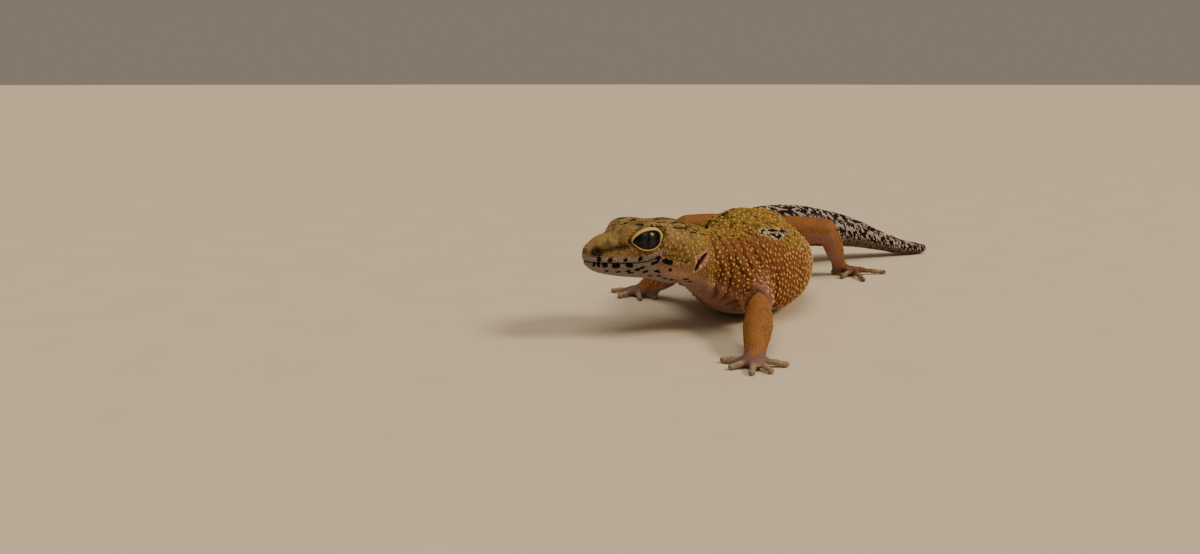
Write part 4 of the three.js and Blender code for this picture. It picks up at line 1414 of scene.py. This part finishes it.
# %% Ground colours
OLIVE, OLIVE_DARK, OCHRE = tint(146, 117, 50), tint(66, 46, 20), tint(162, 118, 50)
ORANGE, ORANGE_DARK, RUST = tint(134, 82, 41), tint(70, 38, 20), tint(106, 58, 32)
CREAM, BACK_TIP = tint(226, 186, 124), tint(208, 176, 96)  # the tips of tubercles on the flanks and the back
BELLY, LILAC, PINK = tint(160, 122, 108), tint(150, 130, 126), tint(204, 156, 134)
HEAD_TOP, HEAD_BROWN, CHEEK = tint(153, 127, 78), tint(78, 54, 27), tint(146, 114, 66)
LIP, THROAT, LORE_BROWN_AND_SHADE = tint(136, 126, 121), tint(142, 129, 128), tint(42, 23, 18)
RIM, EAR_SHADE_RED = tint(196, 170, 114), tint(58, 20, 15)
LIMB, LIMB_UNDER = tint(139, 92, 49), tint(152, 108, 96)
FOOT, FOOT_BROWN, TOE = tint(114, 86, 82), tint(90, 48, 30), tint(146, 126, 104)
WHITE, TAIL_UNDER = tint(176, 158, 150), tint(104, 84, 74)
MARK_AND_SHADE_BLACK, MARK_EDGE = tint(10, 8, 9), tint(206, 188, 176)


def trunk_ground(f, root, s, up):
    """Flank, back and belly. The back is dotted with brown and reaches less far down the neck, and the flank
    turns to ochre rearwards."""
    neck = s.fade(54, 42)
    patch, grain = f.noise(root, 6.0), f.noise(root, 1.3)
    flank = f.blend(f.blend(ORANGE, OCHRE, s.fade(50, 70) * 0.35), RUST, patch.fade(0.5, 0.75) * 0.7)
    flank = f.blend(flank, ORANGE_DARK, grain.fade(0.55, 0.75) * 0.6)
    back = f.blend(OLIVE, OCHRE, f.noise(root, 9.0).fade(0.48, 0.66) * 0.5)
    back = f.blend(back, OLIVE_DARK, grain.fade(0.52, 0.64) * 0.8)
    back = f.blend(back, OLIVE_DARK, f.dots(root, 1.9).fade(0.36, 0.24) * 0.85)
    belly = f.blend(BELLY, LILAC, patch.fade(0.4, 0.6))
    ground = f.blend(flank, back, (up + patch * 0.5 + grain * 0.2 - neck * 0.3).fade(0.72, 0.98))
    return f.blend(ground, belly, (up + patch * 0.3 + neck * 0.1).fade(-0.45, -0.80))


def head_ground(f, root, up, lips, lore_dark_and_shade, nape):
    """Crown, cheek, snout, lips and throat; the crown turns olive towards the nape."""
    patch, grain = f.noise(root, 3.5), f.noise(root, 0.9)
    top = f.blend(HEAD_TOP, HEAD_BROWN, (patch * 0.6 + grain * 0.4).fade(0.47, 0.62) * 0.7)
    top = f.blend(top, OLIVE, nape * 0.8)
    side = f.blend(CHEEK, HEAD_BROWN, grain.fade(0.47, 0.63) * 0.7)
    ground = f.blend(side, top, (up + patch * 0.4).fade(0.35, 0.75))
    # The lore's band, partly its own dark brown and partly painted shade under the ridge.
    ground = f.blend(ground, LORE_BROWN_AND_SHADE, lore_dark_and_shade * 0.92)
    ground = f.blend(ground, f.blend(LIP, LILAC, grain.fade(0.4, 0.6)), lips)
    return f.blend(ground, THROAT, (up + patch * 0.16).fade(-0.48, -0.66))


def limb_ground(f, root, up, down, hind):
    """Arms and legs, their undersides, feet and toes."""
    patch, grain = f.noise(root, 3.0), f.noise(root, 0.8)
    top = f.blend(LIMB, ORANGE_DARK, (patch * 0.7 + grain * 0.3).fade(0.48, 0.68) * 0.3)
    thigh = hind * down.fade(1.15, 0.85)
    ground = f.blend(top, LIMB_UNDER, (up + patch * 0.4 - thigh * 0.45).fade(-0.15, -0.55))
    feet = f.blend(FOOT, FOOT_BROWN, hind * grain.fade(0.35, 0.55))
    ground = f.blend(ground, feet, (down + patch * 0.25).fade(2.12, 2.34))
    toes = f.blend(TOE, HEAD_BROWN, grain.fade(0.50, 0.68) * 0.5 + hind * patch.fade(0.4, 0.6) * 0.45)
    return f.blend(ground, toes, (down + grain * 0.2).fade(2.4, 2.75))


def tail_ground(f, root, s, arc, up):
    """Black blots over pale lilac: drawn out along the top of the tail, upright on its sides, specks
    below."""
    warp, shift = f.noise(root, 3.2), f.noise(root, 2.1)
    top = f.noise(f.joined(s / 1.4 + warp * 2.2, arc + shift * 2.0, 0.0), 1.8, 1.0, 0.4).fade(0.445, 0.47)
    side = f.noise(f.joined(s / 0.75 + arc * 0.4 + shift * 1.2, arc / 1.8 + warp, 0.0), 1.2, 1.0, 0.4)
    black = side.fade(0.46, 0.49) * up.fade(0.75, 0.45) + top * up.fade(0.45, 0.75)
    specks = f.dots(f.joined(s / 1.5, arc, 0.0), 1.2).fade(0.36, 0.30) * up.fade(-0.98, -0.9)
    black = black * (up + warp * 0.4).fade(-0.35, -0.1) + specks * (up + warp * 0.4).fade(-0.1, -0.35)
    pale = f.blend(TAIL_UNDER, WHITE, (up + warp * 0.4).fade(-0.4, 0.1))
    pale = f.blend(pale, OCHRE, f.noise(root, 4.0).fade(0.56, 0.62) * s.fade(126, 112) * up.fade(0.3, 0.7))
    return f.blend(pale, MARK_AND_SHADE_BLACK, black.least(1.0))


# %% The whole coat's finish
DULLNESS = 0.12  # scales barely gleam at a grazing angle


def coat_finish(name, scaly):
    """The finish of the skin, or of its scales: ground colours, marks, painted shade in hollows, grooves,
    folds and between the scales, then roughness and a fine grain.
    """
    f = Finish(name)
    root = f.attribute("root")
    numbers = [f.split(f.attribute(name)) for name in ("lie", "zone", "tone", "spot", "fine", "skinfold")]
    (s, arc, down), (tail, limb, head), (up, hind, lips) = numbers[:3]
    (mark, flank_mark, hollow), (rim, lore_dark_and_shade, pink), (armpit, groove, crease) = numbers[3:]
    face = head_ground(f, root, up, lips, lore_dark_and_shade, s.fade(21, 30))
    colour = f.blend(trunk_ground(f, root, s, up), face, head)
    flush = f.blend(PINK, BELLY, up.fade(-0.55, -0.85))
    colour = f.blend(colour, flush, pink * f.noise(root, 3.5).fade(0.25, 0.5) * 0.9)
    net = tail_ground(f, root, s, arc, up)
    colour = f.blend(colour, net, (tail + f.noise(root, 2.4) * 0.7).fade(0.76, 0.86))
    colour = f.blend(colour, limb_ground(f, root, up, down, hind), limb)
    colour = f.blend(colour, LIMB_UNDER, armpit * 0.75)
    # Painted shade: darker in the grooves between the neck's folds.
    colour = f.scaled(colour, 1.1 - crease * 0.75)
    ragged = f.noise(root, 0.7) * 0.4
    colour = f.blend(colour, MARK_EDGE, (flank_mark + ragged).fade(0.66, 0.50) * 0.62)
    if scaly:
        luck, random_tone, height = f.split(f.attribute("luck"))
        raised = f.attribute("raised")
        plain = (1 - tail) * (1 - limb * 0.7) * (1 - head * 0.55) * (1 - up.fade(0.3, 0.8) * 0.4)
        tip = f.blend(CREAM, BACK_TIP, (up.fade(0.35, 0.7) + head * 0.6).least(1.0))
        colour = f.blend(colour, tip, raised * plain * (0.4 + luck * 0.4) * height.fade(0.15, 0.85))
        # Each scale's own tone at random, times painted shade from dark at the foot to light at the tip.
        colour = f.scaled(colour, (0.86 + random_tone * 0.22) * (0.72 + height * 0.38))
    else:
        # Painted shade: the body's skin between the scales is darker; the legs' skin is not.
        colour = f.scaled(colour, 0.70 + 0.30 * limb)
    colour = f.blend(colour, MARK_AND_SHADE_BLACK, (mark + ragged).fade(0.38, 0.26))
    # Painted shade in the groove at the left arm's sleeve.
    colour = f.blend(colour, LORE_BROWN_AND_SHADE, groove * 0.9)
    colour = f.blend(colour, RIM, rim)
    # Painted shade in the mouth line and nostrils, black, and deep red in the ear openings.
    colour = f.blend(colour, f.blend(MARK_AND_SHADE_BLACK, EAR_SHADE_RED, s.fade(20, 22)), hollow * 0.9)
    rough = 0.56 + (f.noise(root, 0.35, 3.0) - 0.5) * 0.25
    normal = f.bump(f.noise(f.place(), 0.25 * MM, 3.0), 0.03)
    return f.ends(Base_Color=colour, Roughness=rough, Normal=normal, Specular_IOR_Level=DULLNESS)


skin_finish, scale_finish = coat_finish("gecko_skin", False), coat_finish("gecko_scales", True)
skin.data.materials.clear()
skin.data.materials.append(skin_finish)
for piece in coat:
    piece.data.materials.append(scale_finish)
    raised = float(piece.name.startswith("tubercles"))
    store(piece.data, "raised", np.full(len(piece.data.vertices), raised))
print("coat finish of", len(scale_finish.node_tree.nodes), "nodes")

# %% [markdown]
# ## Eyes
#
# The eye is nearly black, with a pupil closed to an upright slit and fine silver veins that run down the
# iris on both sides of it. Each is a globe with its pole at the middle of the pupil, worked out from rings,
# with a clear layer over the colour for the wet shine. The lids cover its edge.

# %% Globes
def globe(hand):
    """An eyeball: rings round the way it looks, R (cos v out + sin v (cos u front + sin u up)) at an angle
    v from it, and a `gaze` attribute of where each point lies from the pupil, forwards and upwards, from -1
    to 1."""
    middle, front, up, out = eye_frame(hand)
    v, u = np.meshgrid(np.linspace(0.02, np.pi - 0.02, 72), around, indexing="ij")
    rings = [np.cos(v), np.sin(v) * np.cos(u), np.sin(v) * np.sin(u)]
    spots, faces = close_rings(np.stack(rings, -1))
    made = middle + EYE_RADIUS * (spots[:, :1] * out + spots[:, 1:2] * front + spots[:, 2:] * up)
    mesh = mesh_of("globe", made, outward(made - middle, faces))
    store(mesh, "gaze", np.stack([spots[:, 1], spots[:, 2], spots[:, 0]], -1))
    return mesh


IRIS, VEIN, PUPIL, EYE_EDGE = tint(9, 6, 6), tint(70, 64, 66), tint(6, 5, 6), tint(20, 14, 14)


def eye_finish():
    """Dark iris with silver veins and a slit pupil, under a clear wet layer."""
    f = Finish("gecko_eye")
    gaze = f.attribute("gaze")
    x, y, _ = f.split(gaze)
    wave = f.noise(gaze, 0.22, 2.0)
    veins = f.noise(f.joined(x * 5.5 + wave * 0.8, y * 0.9, 0.0), 0.33, 3.0, 0.6)
    veins = abs(veins - 0.5).fade(0.05, 0.0) + f.noise(gaze, 0.05).fade(0.5, 0.8) * 0.15
    iris = f.blend(IRIS, VEIN, veins * abs(x).fade(0.62, 0.2))
    slit = (abs(x) + (wave - 0.5) * 0.06 + y * y * 0.05).fade(0.10, 0.075)
    colour = f.blend(f.blend(iris, PUPIL, slit), EYE_EDGE, (x * x + y * y).fade(0.45, 0.72))
    wet = {"Coat_Weight": 0.22, "Coat_Roughness": 0.1}
    return f.ends(Base_Color=colour, Roughness=0.3, Specular_IOR_Level=0.1, **wet)


eye_material = eye_finish()
for hand, label in [(1, "left"), (-1, "right")]:
    eye = piece_of(f"eyeball_{label}", globe(hand))
    eye.data.materials.append(eye_material)
    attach(eye, "root")
    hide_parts(f"eye_{label}")
print("eyes of", EYE_RADIUS, "mm radius")

# %% [markdown]
# ## Claws
#
# This gecko has no sticky pads: each toe ends in a small curved claw. A claw is a cone whose middle line
# bends down as it leaves the toe, and it starts inside the toe's tip, so that it grows out of the skin.

# %% Curved cones
CLAW_RADIUS, CLAW_POINT, CLAW_FLATNESS = 0.28, 0.02, 0.75
CLAW_BEND = 0.75  # how far it turns down along its length, in radians
CLAW_ROOT, CLAW_HIDDEN, CLAW_RISE = 0.75, 0.55, 0.2  # how far behind the toe's tip it starts, and how high
CLAW_CLEARANCE = 0.05


def claw(tip, ahead):
    """Rings along an arc that leaves the toe forwards and turns down, with a radius falling as (1 - t)^0.8.
    The arc of length L and bend b is L (sin(b t) / b) ahead and L ((1 - cos(b t)) / b) down."""
    t = spaced(16)
    length = CLAW_LENGTH + CLAW_HIDDEN
    middle = tip - CLAW_ROOT * ahead + [0, 0, CLAW_RISE]
    middle = middle + length * (np.sin(CLAW_BEND * t) / CLAW_BEND)[:, None] * ahead
    middle[:, 2] -= length * (1 - np.cos(CLAW_BEND * t)) / CLAW_BEND
    tangent = unit(np.gradient(middle, axis=0))
    side = unit(np.cross([0, 0, 1.0], tangent))
    up = np.cross(tangent, side)
    radius = CLAW_RADIUS * (1 - t) ** 0.8 + CLAW_POINT
    turn = turns(10)[None, :, None]
    ring = np.cos(turn) * side[:, None] * CLAW_FLATNESS + np.sin(turn) * up[:, None]
    rings = middle[:, None] + radius[:, None, None] * ring
    rings[..., 2] = np.maximum(rings[..., 2], CLAW_CLEARANCE)
    return close_rings(rings)


HORN, HORN_DARK = tint(120, 96, 72), tint(52, 38, 28)


def claw_finish():
    """Horn: pale and dark brown in small cloudy patches, a little glossy."""
    f = Finish("gecko_claw")
    streak = f.noise(f.place(), 0.4 * MM, 3.0)
    colour = f.blend(HORN, HORN_DARK, streak.fade(0.35, 0.65))
    return f.ends(Base_Color=colour, Roughness=0.3 + streak * 0.15)


claw_material = claw_finish()
for name, leg in LEGS.items():
    parts = [claw(tip, unit((tip - leg["hand"]) * [1, 1, 0])) for tip in leg["tips"]]
    claws = piece_of(f"claws_{name}", mesh_of(f"claws_{name}", *joined(parts)))
    claws.data.materials.append(claw_material)
    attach(claws, "root")
    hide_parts(*(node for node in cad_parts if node.startswith(f"claw_{name}")))
print("twenty claws,", CLAW_LENGTH, "mm long")

# %% [markdown]
# ## Floor, light and camera
#
# The animal stands on a plain pale floor. A low warm lamp, wide enough for soft edges, stands behind its
# left side and throws the shadow forwards past the head. A wider one hangs nearly overhead, and a pale sky
# lights the rest. The camera is low, a hand's height above the floor, and looks down a little.

# %% The stage
FLOOR = 40.0
floor = piece_of("floor", mesh_of("floor", np.array([
    (-FLOOR, -FLOOR, 0), (FLOOR, -FLOOR, 0), (FLOOR, FLOOR, 0), (-FLOOR, FLOOR, 0),
]), np.array([[0, 1, 2, 3]]), 1.0))
floor_finish = Finish("floor_paper")
paper = floor_finish.noise(floor_finish.place(), 20 * MM, 3.0)
paper_colour = floor_finish.blend(tint(206, 192, 170), tint(214, 200, 178), paper)
floor.data.materials.append(floor_finish.ends(Base_Color=paper_colour, Roughness=0.7))

world = bpy.data.worlds.new("sky")
bpy.context.scene.world = world
world.use_nodes = True
sky = world.node_tree.nodes["Background"].inputs
sky["Color"].default_value, sky["Strength"].default_value = tint(206, 190, 166), 0.38


def lamp(name, place, power, colour, spread):
    """A distant light from a place towards the animal, as wide as `spread` degrees of the sky."""
    light = bpy.data.lights.new(name, "SUN")
    light.energy, light.color, light.angle = power, tint(*colour)[:3], math.radians(spread)
    made = bpy.data.objects.new(name, light)
    bpy.context.scene.collection.objects.link(made)
    made.location = place
    made.rotation_euler = (-Vector(place)).to_track_quat("-Z", "Y").to_euler()


lamp("key", (-0.34, 0.66, 0.66), 2.2, (255, 236, 206), 16)
lamp("fill", (0.30, 0.20, 0.95), 1.4, (255, 244, 226), 40)

PITCH = math.radians(12.5)
LOOK_X, LOOK_Y = -0.6816, -0.7317
camera = bpy.data.objects.new("camera", bpy.data.cameras.new("camera"))
bpy.context.scene.collection.objects.link(camera)
camera.data.lens, camera.data.sensor_width, camera.data.clip_start = 26.19, 36, 0.01
camera.location = (0.22636, 0.16162, 0.0632)
look = Vector((LOOK_X * math.cos(PITCH), LOOK_Y * math.cos(PITCH), -math.sin(PITCH)))
camera.rotation_euler = look.to_track_quat("-Z", "Y").to_euler()
bpy.context.scene.camera = camera
print("floor, sky, two lamps and the camera at", [round(x / MM) for x in camera.location], "mm")
